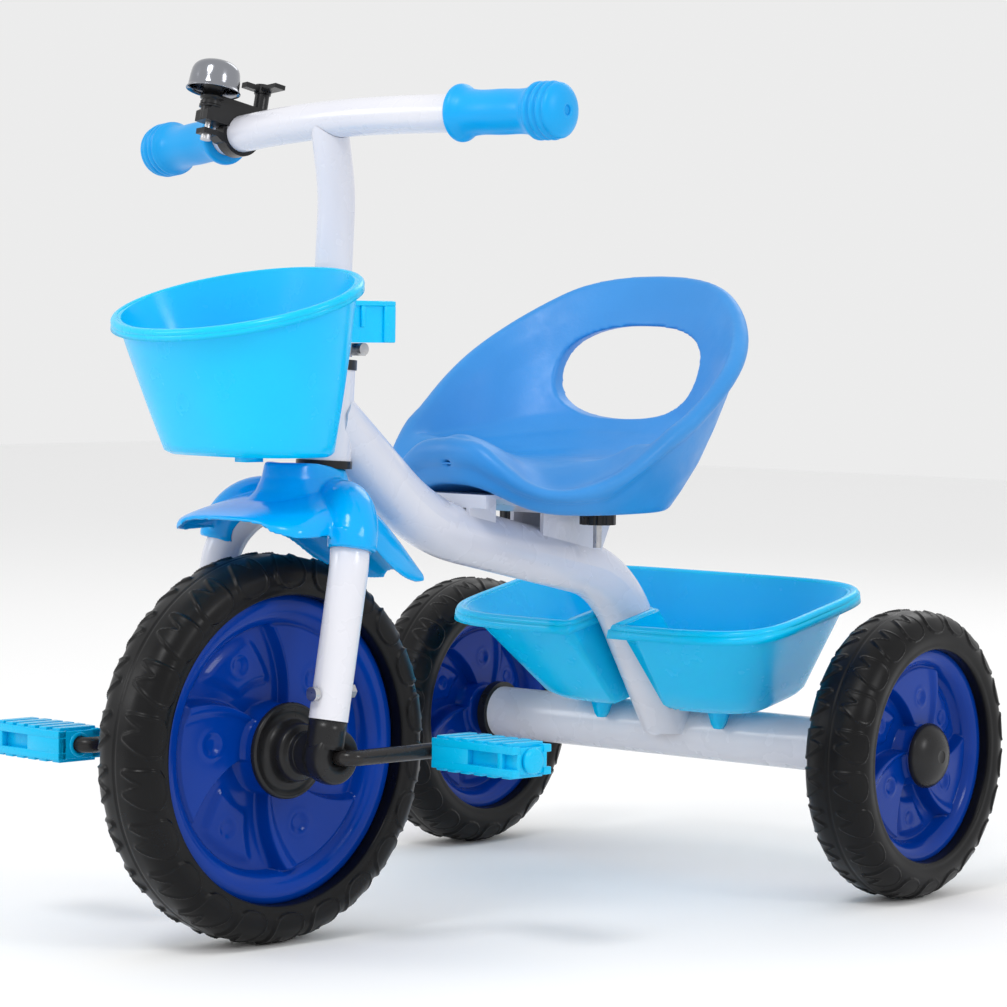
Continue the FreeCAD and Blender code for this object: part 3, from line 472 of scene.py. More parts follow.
def distance_to_outline(point, outline):
    """Signed distance to a closed outline, negative inside."""
    inside = False
    nearest = 1e9
    for a, b in zip(outline, outline[1:] + outline[:1]):
        run = (b[0] - a[0], b[1] - a[1])
        length = run[0] ** 2 + run[1] ** 2
        t = min(max(((point[0] - a[0]) * run[0] + (point[1] - a[1]) * run[1]) / length, 0), 1)
        nearest = min(nearest, math.hypot(point[0] - a[0] - t * run[0], point[1] - a[1] - t * run[1]))
        if (a[1] > point[1]) != (b[1] > point[1]):
            if point[0] < (b[0] - a[0]) * (point[1] - a[1]) / (b[1] - a[1]) + a[0]:
                inside = not inside
    return -nearest if inside else nearest


def lug_height(around, across):
    """Raised pad with a thin ridge round its edge."""
    distance = distance_to_outline((around, across), LUG_OUTLINE)
    pad = 1.0 * smooth(1.3, -1.3, distance)
    ridge = 1.05 * bell_curve(distance, 0.75)
    return pad + ridge


def tyre(radius, half_width, lip):
    """Moulded tyre: round shoulders, a centre seam, lugs on both shoulders and a deep lip."""
    scale = radius / FRONT_RADIUS
    wide = half_width + 0.8
    section = catmull([(0, radius), (wide - 14, radius - 1.0), (wide - 6.5, radius - 4.2),
                       (wide - 1.6, radius - 10), (wide, radius - 16), (wide - 0.4, lip + 5.5),
                       (wide - 1.6, lip + 1.8), (wide - 4.0, lip + 0.2), (wide - 11.5, lip)], 9)
    lengths = [0.0]
    for a, b in zip(section, section[1:]):
        lengths.append(lengths[-1] + (b - a).length)
    pitch = 2 * math.pi * radius / LUGS
    heights = []
    for phase in range(LUG_STEPS):
        around = (phase / LUG_STEPS - 0.5) * pitch / scale
        heights.append([lug_height(around, length / scale) * scale for length in lengths])
    rows = []
    for step in range(LUGS * LUG_STEPS):
        angle = 2 * math.pi * step / (LUGS * LUG_STEPS)
        half = []
        for index, spot in enumerate(section):
            before = section[max(index - 1, 0)]
            after = section[min(index + 1, len(section) - 1)]
            run = (after - before).normalized()
            fade = smooth(14, 26, len(section) - 1 - index)
            lift = heights[step % LUG_STEPS][index] - 0.7 * bell_curve(lengths[index], 0.9) - 1.0
            half.append((spot.x - run.y * lift * fade, spot.y + run.x * lift * fade))
        profile = [(-x, r) for x, r in reversed(half[1:])] + half
        rows.append([(x, r * math.cos(angle), r * math.sin(angle)) for x, r in profile])
    edge = wide - 11.5
    back = lathe([(edge, lip), (edge - 1.5, lip + 1.2), (1.5 - edge, lip + 1.2), (-edge, lip)], closed=False)
    return joined([skin(rows, close_rows=True, close_columns=False), back])


SWIRL = math.radians(22)
BLADE_HALF = 28.0
WEB_LOW = 1.4
BLADE_RISE = 11.0
PAD_RISE = 2.2
RIDGE_DROP = 2.4


def sector_offsets():
    """Angles in degrees across one third of a rim, closely spaced along the two blade edges."""
    offsets = []
    angle = -60.0
    while angle < 60:
        offsets.append(angle)
        near_edge = min(abs(angle + BLADE_HALF), abs(angle - BLADE_HALF)) < 3.4
        angle += 0.55 if near_edge else 1.5
    return offsets


def dimple(radius, angle, spot_radius, spot_angle, size):
    """0 outside a small round mark, 1 in its middle, with a raised ring at its edge."""
    cosine = math.cos(angle - spot_angle)
    distance = math.sqrt(radius ** 2 + spot_radius ** 2 - 2 * radius * spot_radius * cosine)
    return smooth(size, size * 0.45, distance) - 0.3 * bell_curve(distance - size * 1.12, size * 0.2)


def web_height(offset, reach):
    """Pinwheel web: a high blade in the middle of each third and a lower pad between blades."""
    blade = smooth(BLADE_HALF + 2.6, BLADE_HALF - 1.2, abs(offset))
    dish = RIDGE_DROP * smooth(-BLADE_HALF + 3.5, -BLADE_HALF + 10.5, offset)
    gap = 60 - abs(offset)
    pad = smooth(21, 14, gap) * smooth(0.22, 0.36, reach) * smooth(0.93, 0.8, reach)
    return WEB_LOW + (BLADE_RISE - dish) * blade + PAD_RISE * pad * (1 - blade)


def rim_half(seat_radius, crest, hub_radius, hub_face, bore, phase):
    """Outer half of a moulded rim: rolled ring, recessed pinwheel web and hub drum."""
    ring = seat_radius * 0.79
    ring_profile = [(crest - 3.5, seat_radius), (crest - 2.0, seat_radius * 0.985),
                    (crest - 0.5, seat_radius * 0.965), (crest, seat_radius * 0.93),
                    (crest - 0.3, seat_radius * 0.9), (crest - 1.5, seat_radius * 0.865),
                    (crest - 3.4, seat_radius * 0.838), (crest - 5.6, ring + 2.2), (crest - 7.6, ring + 0.7)]
    drum = hub_radius + 1.2
    reaches = [step / 34 for step in range(35)]
    hub_profile = [(hub_face - 3.0, hub_radius), (hub_face - 1.0, hub_radius - 0.6),
                   (hub_face, hub_radius - 2.5), (hub_face, bore)]
    mark_radius = drum + (ring - drum) * 0.48
    mark_size = seat_radius * 0.075
    rows = []
    for sector in range(3):
        for offset in sector_offsets():
            base = phase + math.radians(offset + 120 * sector)
            outer = [(x, radius, base + SWIRL) for x, radius in ring_profile]
            web = []
            for reach in reversed(reaches):
                radius = drum + (ring - drum) * reach
                angle = base + SWIRL * reach
                height = web_height(offset, reach)
                for spot in range(3):
                    mark_angle = phase + SWIRL * 0.5 + math.radians(120 * spot)
                    height -= 1.5 * dimple(radius, angle, mark_radius, mark_angle, mark_size)
                    height -= 1.0 * dimple(radius, angle, mark_radius * 1.12, mark_angle + math.radians(62),
                                           mark_size * 0.9)
                web.append((height, radius, angle))
            inner = [(x, radius, base) for x, radius in hub_profile]
            rows.append([(x, radius * math.cos(angle), radius * math.sin(angle)) for x, radius, angle in
                         outer + web + inner])
    return skin(rows, close_rows=True, close_columns=False)


def facing(left):
    """Turns a piece drawn along +X to the left or mirrors it to the right."""
    return Matrix.Identity(4) if left else Matrix.Diagonal((-1, 1, 1, 1))


def axis_frame(centre, left=True):
    """Matrix that puts a piece drawn along +X at a wheel centre, facing out to one side."""
    return Matrix.Translation(centre) @ facing(left)


def front_wheel_frame(left=True):
    return Matrix.Translation(FRONT_CENTRE) @ Matrix.Rotation(REST_STEER, 4, HEAD_AXIS) @ facing(left)


def add_front_wheel():
    front_tyre = tyre(FRONT_RADIUS, FRONT_HALF_WIDTH, FRONT_LIP)
    piece("front_tyre_tread", front_tyre, front_wheel_frame(), "front_wheel",
          MATERIALS["tyre_black"], ["front_tyre"])
    flange = catmull([(20.0, 29.5), (21.5, 30.5), (24.0, 30.2), (25.0, 28.6), (24.2, 26.6), (23.6, 24.0),
                      (24.6, 20.5), (28.0, 18.8), (32.0, 18.6), (35.0, 17.6), (36.4, 15.0), (37.5, 13.6),
                      (41.4, 13.4)], 5)
    flange = [tuple(point) for point in flange] + [(41.4, 5.0), (20.0, 5.0)]
    for side, left in (("left", True), ("right", False)):
        place = front_wheel_frame(left)
        half = rim_half(98.8, 15.0, 28.0, 20.0, 5.0, math.radians(42))
        piece("front_rim_%s_web" % side, half, place, "front_wheel", MATERIALS["rim_blue"],
              ["front_rim_%s" % side])
        piece("hub_flange_%s_turned" % side, lathe(flange), place, "front_wheel", MATERIALS["black_plastic"],
              ["hub_flange_%s" % side])


def hub_cap():
    """Dome with a shallow moulding mark in its middle."""
    dome = catmull([(16.0, 22.3), (17.5, 22.5), (20.5, 21.4), (24.6, 17.4), (27.6, 11.4), (28.9, 5.0),
                    (28.6, 4.0), (28.3, 2.0), (28.2, 0.05)], 6)
    return lathe([tuple(point) for point in dome], steps=64, closed=False)


def add_rear_wheels():
    for side in ("left", "right"):
        body = "rear_wheel_%s" % side
        centre = Vector(JOINTS[body + "_spin"]["pos_m"])
        left = side == "left"
        rear_tyre = tyre(REAR_RADIUS, REAR_HALF_WIDTH, REAR_LIP)
        piece("rear_tyre_%s_tread" % side, rear_tyre, axis_frame(centre), body,
              MATERIALS["tyre_black"], ["rear_tyre_%s" % side])
        for face, outward in (("outer", left), ("inner", not left)):
            half = rim_half(76.1, 15.0, 20.0, 16.0, 5.2, math.radians(77))
            piece("rear_rim_%s_%s_web" % (face, side), half, axis_frame(centre, outward), body,
                  MATERIALS["rim_blue"], ["rear_rim_%s_%s" % (face, side)])
        piece("hub_cap_%s_dome" % side, hub_cap(), axis_frame(centre, left), body,
              MATERIALS["black_plastic"], ["hub_cap_%s" % side])


# ---------------------------------------------------------------- seat

# Outer sections of the shell by height: half width, half length, roundness and centre.
SEAT_SECTIONS = [(266.0, 91.0, 90.0, 2.4, -176.0), (303.0, 111.0, 101.0, 2.4, -169.0),
                 (365.0, 128.0, 112.0, 2.4, -156.0), (405.0, 128.5, 120.0, 2.25, -149.5),
                 (445.0, 124.0, 122.0, 2.1, -146.5)]
# Height of the rolled edge by the angle from the middle of the front to the middle of the back.
SEAT_CREST = [(0, 317.0), (10, 313.5), (20, 301.0), (30, 290.0), (42, 284.5), (55, 286.0), (70, 296.0),
              (80, 311.0), (90, 330.0), (100, 349.0), (110, 366.0), (120, 381.0), (130, 395.0),
              (140, 407.5), (150, 418.0), (160, 424.0), (170, 427.0), (180, 428.0)]
SEAT_BOTTOM = 266.0
SHELL = 9.0


def seat_section(height):
    values = []
    for column in (1, 2, 3, 4):
        values.append(along([(section[0], section[column]) for section in SEAT_SECTIONS], height))
    return values


def seat_outside(angle, height):
    half_x, half_y, power, centre = seat_section(height)
    x, y = power_curve(angle, half_x, half_y, power)
    return Vector((x, centre + y, height))


def seat_inward(angle, height):
    """Level direction from the wall towards the middle of the shell."""
    half_x, half_y, power = seat_section(height)[:3]
    x, y = power_curve(angle, half_x, half_y, power)
    return Vector((-x / half_x, -y / half_y, 0)).normalized()


def degrees_from_front(angle):
    """Angle away from the middle of the seat's front, 0 to 180."""
    turn = angle + math.pi / 2
    return abs(math.degrees(math.atan2(math.sin(turn), math.cos(turn))))


def seat_underside(from_front):
    """Lower edge of the outer wall, lifted under the pommel."""
    return SEAT_BOTTOM + 19 * bell_curve(from_front, 27)


def pan_height(x, y):
    """Top of the pan: it rises to the back and has a pommel between two thigh hollows."""
    front = smooth(-185, -262, y)
    back = smooth(-135, -62, y)
    pommel = 34 * bell_curve(x, 27)
    return 301 + 17 * back + front * (pommel - 17) + 5 * smooth(40, 105, abs(x)) * smooth(-250, -180, y)


def seat_line(angle):
    """Section of the shell at one angle: pan, inner wall, rolled edge, outer wall, underside."""
    from_front = degrees_from_front(angle)
    crest = along(SEAT_CREST, from_front)
    wall = smooth(300, 335, crest)
    bottom = seat_underside(from_front)

    def at(inset, height):
        return seat_outside(angle, height) + seat_inward(angle, height) * inset

    middle = Vector((0, -165, 0))
    pan_edge = at(20, min(crest - 2, 306.0))
    pan_top = pan_height(pan_edge.x, pan_edge.y)
    edge_z = (pan_top + 6) * wall + (crest - 2.5) * (1 - wall)
    line = []
    for share in (0.02, 0.2, 0.4, 0.55, 0.68, 0.8, 0.9, 0.97):
        spot = middle.lerp(pan_edge, share)
        spot.z = pan_height(spot.x, spot.y) + (edge_z - pan_top) * smooth(0.62, 1.0, share)
        line.append(spot)
    thickness = 11 + 5 * bell_curve(from_front - 180, 60)
    for share in (0.12, 0.35, 0.6, 0.85):
        height = edge_z + max(crest - 9 - edge_z, 0.5) * share
        line.append(at(thickness + 4 * (1 - share), height))
    drop = min(1.0, (crest - bottom - 4) / 26)
    for inset, fall in ((9.5, 1.6), (6, 0.0), (2.5, 0.9), (-0.6, 4.0), (-2.0, 9.0), (-1.8, 13.5), (0.2, 17.2),
                        (2.0, 18.6), (2.6, 20.0)):
        line.append(at(inset, crest - fall * (drop if inset < 4 else 1)))
    start = crest - 20 * drop
    for share in (0.2, 0.45, 0.7, 0.9):
        line.append(at(3.0, start + (bottom + 5 - start) * share))
    line.append(at(3.4, bottom + 3))
    line.append(at(5, bottom + 0.8))
    line.append(at(8, bottom))
    base = at(14, bottom)
    for share in (1.0, 0.6, 0.25, 0.02):
        spot = Vector((0, -180, SEAT_BOTTOM)).lerp(base, share)
        line.append(spot)
    return line


HOLE_CENTRE_Z = 359.0
HOLE_HALF = (63.0, 33.0)
HOLE_POWER = 2.5
SEAT_STUD_X = 38
SEAT_STUD_Y = -146
SEAM_BELOW_EDGE = 17.5


def wall_middle(x, height):
    """Point in the middle of the back wall's thickness at a sideways place and height."""
    half_x, half_y, power, centre = seat_section(height)
    half_x -= SHELL * 0.7
    half_y -= SHELL * 0.7
    reach = max(1 - abs(x / half_x) ** power, 0) ** (1 / power)
    return Vector((x, centre + half_y * reach, height))


def hole_line():
    points = []
    for angle in turned(72):
        x, z = power_curve(angle, HOLE_HALF[0], HOLE_HALF[1], HOLE_POWER)
        points.append(wall_middle(x, HOLE_CENTRE_Z + z))
    return points


def hand_hole():
    """Cutter for the opening in the back of the shell, a little wider behind."""
    outline = hole_line()
    rows = []
    for shift, wide, tall in ((-45, 0.9, 0.95), (0, 1.0, 1.0), (45, 1.1, 1.02)):
        rows.append([(point.x * wide, point.y + shift, HOLE_CENTRE_Z + (point.z - HOLE_CENTRE_Z) * tall)
                     for point in outline])
    return skin(rows, caps=True)


def pan_slot(side):
    """Cutter for the shallow slot over one seat stud."""
    rows = []
    for height, grow in ((299.5, 0.0), (302.0, 1.5), (312.0, 2.5)):
        outline = [power_curve(angle, 5 + grow, 12 + grow, 2.2) for angle in turned(32)]
        rows.append([(side * SEAT_STUD_X + x, SEAT_STUD_Y + y, height) for x, y in outline])
    return skin(rows, caps=True)


def parting_line():
    """Thin seam round the outer wall, a little below the rolled edge."""
    line = []
    for angle in turned(240):
        from_front = degrees_from_front(angle)
        crest = along(SEAT_CREST, from_front)
        share = min(1.0, (crest - seat_underside(from_front) - 4) / 26)
        height = crest - SEAM_BELOW_EDGE * share
        line.append(seat_outside(angle, height) + seat_inward(angle, height) * 1.6)
    return tube(line, 0.8, closed=True, sides=8)


def add_seat():
    rows = [seat_line(angle) for angle in turned(180)]
    vertices, faces = skin(rows, close_rows=True, close_columns=False)
    width = len(rows[0])
    count = len(rows)
    faces.append(tuple(index * width for index in range(count)))
    faces.append(tuple(index * width + width - 1 for index in reversed(range(count))))
    shell = make_object("seat_shell", vertices, faces, BACK)
    face_outward(shell)
    cut_away(shell, hand_hole(), BACK)
    for side in (-1, 1):
        cut_away(shell, pan_slot(side), BACK)
    vent = tube([(0, -300, 300), (0, -250, 300)], 2.4, sides=20)
    cut_away(shell, vent, BACK)
    melt(shell, 1.7, 7)
    finish_moulding(shell, "seat_blue", "seat", "frame")
    piece("seat_parting_line", parting_line(), BACK, "frame", MATERIALS["seat_blue"])


# ---------------------------------------------------------------- baskets

def ring_at(outline, inset):
    """Closed level outline moved inwards."""
    count = len(outline)
    points = []
    for index, point in enumerate(outline):
        run = (outline[(index + 1) % count] - outline[index - 1]).normalized()
        points.append(Vector((point.x - run.y * inset, point.y + run.x * inset, point.z)))
    return points


def lifted(outline, height):
    return [point + Vector((0, 0, height)) for point in outline]


def tub(levels, wall, floor_rise):
    """Open container through closed outlines from the rim down, with an inner skin and a floor."""
    inside = [ring_at(level, wall) for level in reversed(levels)]
    inside[0] = [Vector((point.x, point.y, point.z + floor_rise)) for point in inside[0]]
    outer_skin = skin(levels)
    inner_skin = skin(inside)
    width = len(levels[0])
    outer_floor = (levels[-1], [tuple(range(width))])
    inner_floor = (inside[0], [tuple(range(width - 1, -1, -1))])
    lip = skin([inside[-1], levels[0]])
    return joined([outer_skin, inner_skin, outer_floor, inner_floor, lip])


BUCKET_TOP = Vector((0, -467.7, 406))
BUCKET_BASE = Vector((0, -456, 308))


def bucket_outline(share, grow=0.0, count=96):
    """Level outline of the front basket; share is 0 at the base and 1 at the sloping rim."""
    half_x = 57 + 33 * share + grow
    half_y = 39 + 21 * share + grow
    power = 2.8 - 0.75 * share
    centre = BUCKET_BASE.lerp(BUCKET_TOP, share)
    points = []
    for angle in turned(count):
        x, y = power_curve(angle, half_x, half_y, power)
        points.append(centre + Vector((x, y, 0.33 * share * y)))
    return points


def add_front_basket():
    cyan = MATERIALS["basket_cyan"]
    shares = [1.0, 0.93, 0.8, 0.6, 0.4, 0.2, 0.08, 0.03]
    levels = [bucket_outline(share) for share in shares]
    levels.append(lifted(bucket_outline(0.0, -1.0), 1.5))
    levels.append(lifted(bucket_outline(0.0, -3.5), 0.2))
    body = tub(levels, 2.5, 2.5)
    rim = tube(lifted(bucket_outline(1.0, 0.9), -2.2), 3.0, closed=True)
    edges = ((3.4, -2.0), (3.9, -6.2), (2.6, -6.2), (1.8, -2.0))
    skirt = skin([lifted(bucket_outline(1.0, grow), height) for grow, height in edges], close_rows=True)
    foot = block((-5.5, -463, 304), (5.5, -449, 309))
    piece("front_basket_tub", joined([body, rim, skirt, foot]), STEERED, "steering", cyan,
          ["front_basket"])


TRAY_TOP = Vector((0, -32, 197))
TRAY_BASE = Vector((0, -5, 126.5))
TRAY_SLOPE = 0.19
NOTCH_HALF = 23.0
NOTCH_BEND = 12


def tray_outline(share, grow=0.0):
    """Outline of the rear basket with the slot for the beam; share is 0 at the base, 1 at the rim."""
    half_x = 93 + 45 * share + grow
    half_y = 41 + 33 * share + grow
    centre = TRAY_BASE.lerp(TRAY_TOP, share)
    notch_end = 6 - 60 * share - grow
    half_notch = NOTCH_HALF - grow
    outline = []
    for angle in turned(180):
        x, y = power_curve(angle - math.pi / 2, half_x, half_y, 5.0)
        if y < -half_y * 0.5 and abs(x) < half_notch:
            continue
        outline.append(Vector((x, y, 0)))
    outline.sort(key=lambda point: math.atan2(point.x, -point.y) % (2 * math.pi))
    front_y = -half_y
    right = []
    bend_start = notch_end - centre.y - NOTCH_BEND
    for step in range(9):
        y = front_y + (bend_start - front_y) * step / 8
        right.append(Vector((-half_notch, y, 0)))
    bend = []
    for step in range(1, 16):
        angle = math.pi - math.pi * step / 16
        y = bend_start + NOTCH_BEND * math.sin(angle) ** 0.7
        bend.append(Vector((half_notch * math.cos(angle), y, 0)))
    left = [Vector((-point.x, point.y, 0)) for point in reversed(right)]
    points = outline + right + bend + left
    return [Vector((point.x, point.y + centre.y, centre.z + TRAY_SLOPE * point.y)) for point in points]


def add_rear_basket():
    cyan = MATERIALS["basket_cyan"]
    shares = [1.0, 0.92, 0.75, 0.5, 0.25, 0.08]
    levels = [tray_outline(share) for share in shares]
    levels.append(lifted(tray_outline(0.0, -1.2), 2.0))
    levels.append(lifted(tray_outline(0.0, -4.0), 0.3))
    body = tub([list(reversed(level)) for level in levels], -2.5, 2.5)
    rim = tube(lifted(tray_outline(1.0, 2.0), -1.6), 3.4, closed=True)
    edges = ((5.2, -1.6), (5.9, -7.6), (4.2, -7.6), (2.8, -1.6))
    skirt = skin([lifted(tray_outline(1.0, grow), height) for grow, height in edges], close_rows=True)
    feet = []
    for x in (-52, 52):
        rows = []
        for height, half, deep in ((127, 10, 3.2), (118, 7.5, 3.2), (110, 4.5, 3.0), (107, 2.5, 2.5)):
            corners = ((-half, -deep), (half, -deep), (half, deep), (-half, deep))
            rows.append([(x + dx, -23.5 + dy, height) for dx, dy in corners])
        feet.append(skin(rows, caps=True))
    piece("rear_basket_tray", joined([body, rim, skirt] + feet), BACK, "frame", cyan,
          ["rear_basket"])


# ---------------------------------------------------------------- mudguard

LEG_BOTTOM = Vector((61.0, -423.4, 256.5))
LEG_CORNER = Vector((61.0, -420.0, 277.0))
LEG_CROWN = Vector((8.0, -396.0, 279.0))
LEG_FOOT = Vector((61.0, -442.4, 146.0))
# Cross sections from the tip of the visor to the tip of the tail: place, crown height, half width, drop.
GUARD_SECTIONS = [(-476, 270.0, 42, 7), (-472, 271.3, 51, 11), (-465, 273.5, 57, 14.5),
                  (-452, 277.5, 58, 18.5), (-432, 283.0, 56, 22.5), (-410, 287.5, 48, 27),
                  (-388, 284.0, 40, 32), (-368, 273.5, 36, 35), (-350, 259.5, 31, 30),
                  (-333, 244.0, 25, 19), (-321, 232.5, 20, 8)]
GUARD_SHEET = 2.6
LEG_ROOM = 12.8


def guard_value(y, column):
    return along([(section[0], section[column]) for section in GUARD_SECTIONS], y)


def guard_sheet():
    """Saddle over the wheel: flat on top with both sides turned down."""
    rows = []
    count = 30
    for step in range(53):
        y = GUARD_SECTIONS[0][0] + (GUARD_SECTIONS[-1][0] - GUARD_SECTIONS[0][0]) * step / 52
        crown = guard_value(y, 1)
        half = guard_value(y, 2)
        drop = guard_value(y, 3)
        outer = []
        inner = []
        for part in range(count + 1):
            x, rise = power_curve(math.pi * part / count, 1.0, 1.0, 3.0)
            outer.append((half * x, y, crown - drop + drop * rise))
            inner.append(((half - GUARD_SHEET) * x, y, crown - drop + (drop - GUARD_SHEET) * rise))
        rows.append(outer + inner[::-1])
    return skin(rows, caps=True)


def leg_cover(side):
    """Sleeve over the top of one fork leg with a slanting lower edge."""
    bend = rounded_corner(LEG_BOTTOM, LEG_CORNER, LEG_CROWN, 30.0)
    path = [LEG_BOTTOM, LEG_BOTTOM.lerp(bend[0], 0.7)] + bend + [LEG_CROWN]
    last = len(bend) - 1
    radii = [14.6, 15.0] + [15.2 + 1.0 * math.sin(math.pi * step / last) for step in range(len(bend))]
    sides = 28
    vertices, faces = tube(path, radii + [15.0], sides=sides)
    slanted = []
    for index, vertex in enumerate(vertices):
        drop = 0.5 * (vertex.y - LEG_BOTTOM.y) if index < sides else 0.0
        slanted.append((side * vertex.x, vertex.y, vertex.z - drop))
    return slanted, faces


def guard_neck():
    """Socket that rises from the saddle to the foot of the head tube."""
    rows = []
    sections = ((272, 38, 44), (279, 31, 38), (285, 25, 33), (291, 20.5, 30), (298.5, 18.5, 28))
    for height, half_x, half_y in sections:
        lift = 5.0 * smooth(285, 298, height)
        row = []
        for angle in turned(40):
            x, y = power_curve(angle, half_x, half_y, 2.5)
            row.append((x, -408.5 + y, height + lift * smooth(8, -10, y)))
        rows.append(row)
    return skin(rows, caps=True)


def add_mudguard():
    """Sheet, sleeves and neck melted into one moulded piece with soft inner corners."""
    part = joined([guard_sheet(), leg_cover(1), leg_cover(-1), guard_neck()])
    guard = make_object("mudguard_moulding", part[0], part[1], STEERED)
    face_outward(guard)
    melt(guard, 1.1, 7)
    bend = rounded_corner(LEG_BOTTOM, LEG_CORNER, LEG_CROWN, 48.0)
    path = [LEG_FOOT] + bend + [LEG_CROWN - Vector((6, -3, 0))]
    for side in (1, -1):
        room = tube([Vector((side * point.x, point.y, point.z)) for point in path], LEG_ROOM, sides=32)
        cut_away(guard, room, STEERED)
    finish_moulding(guard, "mudguard_blue", "mudguard", "steering")


# ---------------------------------------------------------------- handlebar fittings

BAR_CENTRE = Vector((0, -391.3, 520.5))
BAR_TILT = math.radians(20.6)
BAR_SWEEP = 0.131
BAR_BOW_HALF = 75.0
BAR_LEVEL = math.radians(-2.4)


def bar_direction(side):
    return Vector((side, BAR_SWEEP * math.cos(BAR_TILT), -BAR_SWEEP * math.sin(BAR_TILT))).normalized()


def bar_point(x):
    back = BAR_SWEEP * (abs(x) - BAR_BOW_HALF / 2)
    return BAR_CENTRE + Vector((x, back * math.cos(BAR_TILT), -back * math.sin(BAR_TILT)))


def millimetres(matrix):
    """The same turn with its shift given in metres."""
    scaled = matrix.copy()
    scaled.translation = scaled.translation * MM
    return scaled


def on_bar(x, direction):
    """Frame on the bar with +X along a direction and +Z up."""
    ahead = direction.normalized()
    left = Vector((0, 0, 1)).cross(ahead).normalized()
    up = ahead.cross(left)
    turn = Matrix((ahead, left, up)).transposed().to_4x4()
    level = (Matrix.Translation(BAR_CENTRE) @ Matrix.Rotation(BAR_LEVEL, 4, "Y")
             @ Matrix.Translation(-BAR_CENTRE))
    return STEERED @ millimetres(level @ Matrix.Translation(bar_point(x)) @ turn)


def add_grips():
    """Grips with a flange, a waisted barrel, three rings and a dimpled end."""
    profile = catmull([(0.0, 16.2), (1.0, 17.6), (2.6, 18.0), (4.4, 17.7), (7.0, 16.2), (11.0, 14.6),
                       (20.0, 13.8), (34.0, 14.1), (48.0, 13.8), (55.0, 14.4), (58.5, 15.6),
                       (60.6, 16.9)], 4)
    for ring in (63.0, 68.0, 73.0):
        profile += [Vector(spot) for spot in ((ring - 1.6, 17.0), (ring - 0.9, 17.8), (ring + 0.6, 18.0),
                                             (ring + 1.7, 17.6), (ring + 2.3, 16.7), (ring + 2.9, 16.5))]
    profile += catmull([(77.0, 17.2), (79.0, 16.7), (81.0, 14.6), (82.8, 11.0), (83.7, 7.0), (84.0, 4.4),
                        (83.4, 3.2), (82.2, 2.8), (82.0, 0.05)], 3)
    outline = [(0.0, 12.2)] + [tuple(point) for point in profile]
    for side, name in ((1, "left"), (-1, "right")):
        place = on_bar(side * 109.0, bar_direction(side))
        piece("grip_%s_moulded" % name, lathe(outline, steps=72, closed=False), place, "steering",
              MATERIALS["grip_blue"], ["grip_%s" % name])


def add_bell():
    """Polished dome and the ringed post below it."""
    upright = Matrix.Rotation(math.radians(-90), 4, "Y")
    lean = Matrix.Rotation(math.radians(-13.6), 4, "X")
    offset = Matrix.Translation(Vector((0, -24, 23)) * MM)
    place = on_bar(-96.0, -bar_direction(-1)) @ lean @ offset @ upright
    outside = catmull([(20.6, 0.05), (20.4, 5.0), (19.4, 9.6), (17.4, 13.2), (14.2, 15.4), (9.5, 16.3),
                       (4.5, 16.7), (2.0, 17.0), (0.9, 17.6), (0.1, 18.1)], 5)
    inside = catmull([(-0.3, 17.8), (0.6, 16.8), (2.4, 15.9), (9.0, 15.3), (14.6, 13.4), (18.2, 8.0),
                      (19.2, 0.05)], 5)
    dome = lathe([tuple(point) for point in outside + inside], closed=False)
    piece("bell_dome_struck", dome, place, "steering", MATERIALS["chrome"], ["bell_dome"])
    rings = [(-12.0, 6.0), (-11.5, 7.6), (-9.8, 7.6), (-9.3, 6.4), (-6.0, 6.4), (-5.5, 7.8), (-3.8, 7.8),
             (-3.3, 6.5), (2.5, 6.5), (3.0, 7.6), (10.0, 7.6), (10.6, 6.2), (10.6, 5.0), (-12.0, 5.0)]
    piece("bell_post_rings", lathe(rings, steps=48), place, "steering", MATERIALS["black_plastic"])


def add_clip_ribs():
    """Raised frame and centre rib on both sides of the basket clip."""
    for side, name in ((1, "left"), (-1, "right")):
        strips = []
        for y0, y1, z0, z1 in ((-412, -351, 402.5, 406), (-361, -351, 379.3, 403), (-412, -396, 379.3, 403),
                               (-381, -377.5, 389, 403)):
            low_x = min(side * 19.5, side * 21.8)
            strips.append(block((low_x, y0, z0), (low_x + 2.3, y1, z1)))
        ribs = piece("basket_clip_ribs_%s" % name, joined(strips), STEERED, "steering",
                     MATERIALS["basket_cyan"])
        soften(ribs, 0.9)


def add_bearing_blocks():
    """Moulded elbows: a waisted barrel round the crank and a neck into the leg."""
    barrel = catmull([(42.0, 13.0), (42.8, 14.2), (47.0, 14.6), (52.0, 15.2), (56.0, 16.8), (60.0, 17.6),
                      (65.0, 17.6), (68.4, 16.6), (69.6, 14.2), (70.0, 11.0)], 4)
    barrel = [tuple(point) for point in barrel] + [(69.9, 8.2), (69.0, 7.4), (68.8, 5.6), (42.0, 5.6)]
    x = LEG_FOOT.x
    neck_line = [(x, -4.4, 5.0), (x, -4.0, 8.0), (x, -3.4, 12.0), (x, -2.8, 16.0), (x, -1.8, 22.8)]
    elbow = joined([lathe(barrel, steps=72), tube(neck_line, 12.0, sides=32)])
    for side, left in (("left", True), ("right", False)):
        piece("bearing_block_%s_moulded" % side, elbow, front_wheel_frame(left), "steering",
              MATERIALS["black_plastic"], ["bearing_block_%s" % side])


# ---------------------------------------------------------------- pedals

PEDAL_INNER = 86.0
PEDAL_OUTER = 158.0


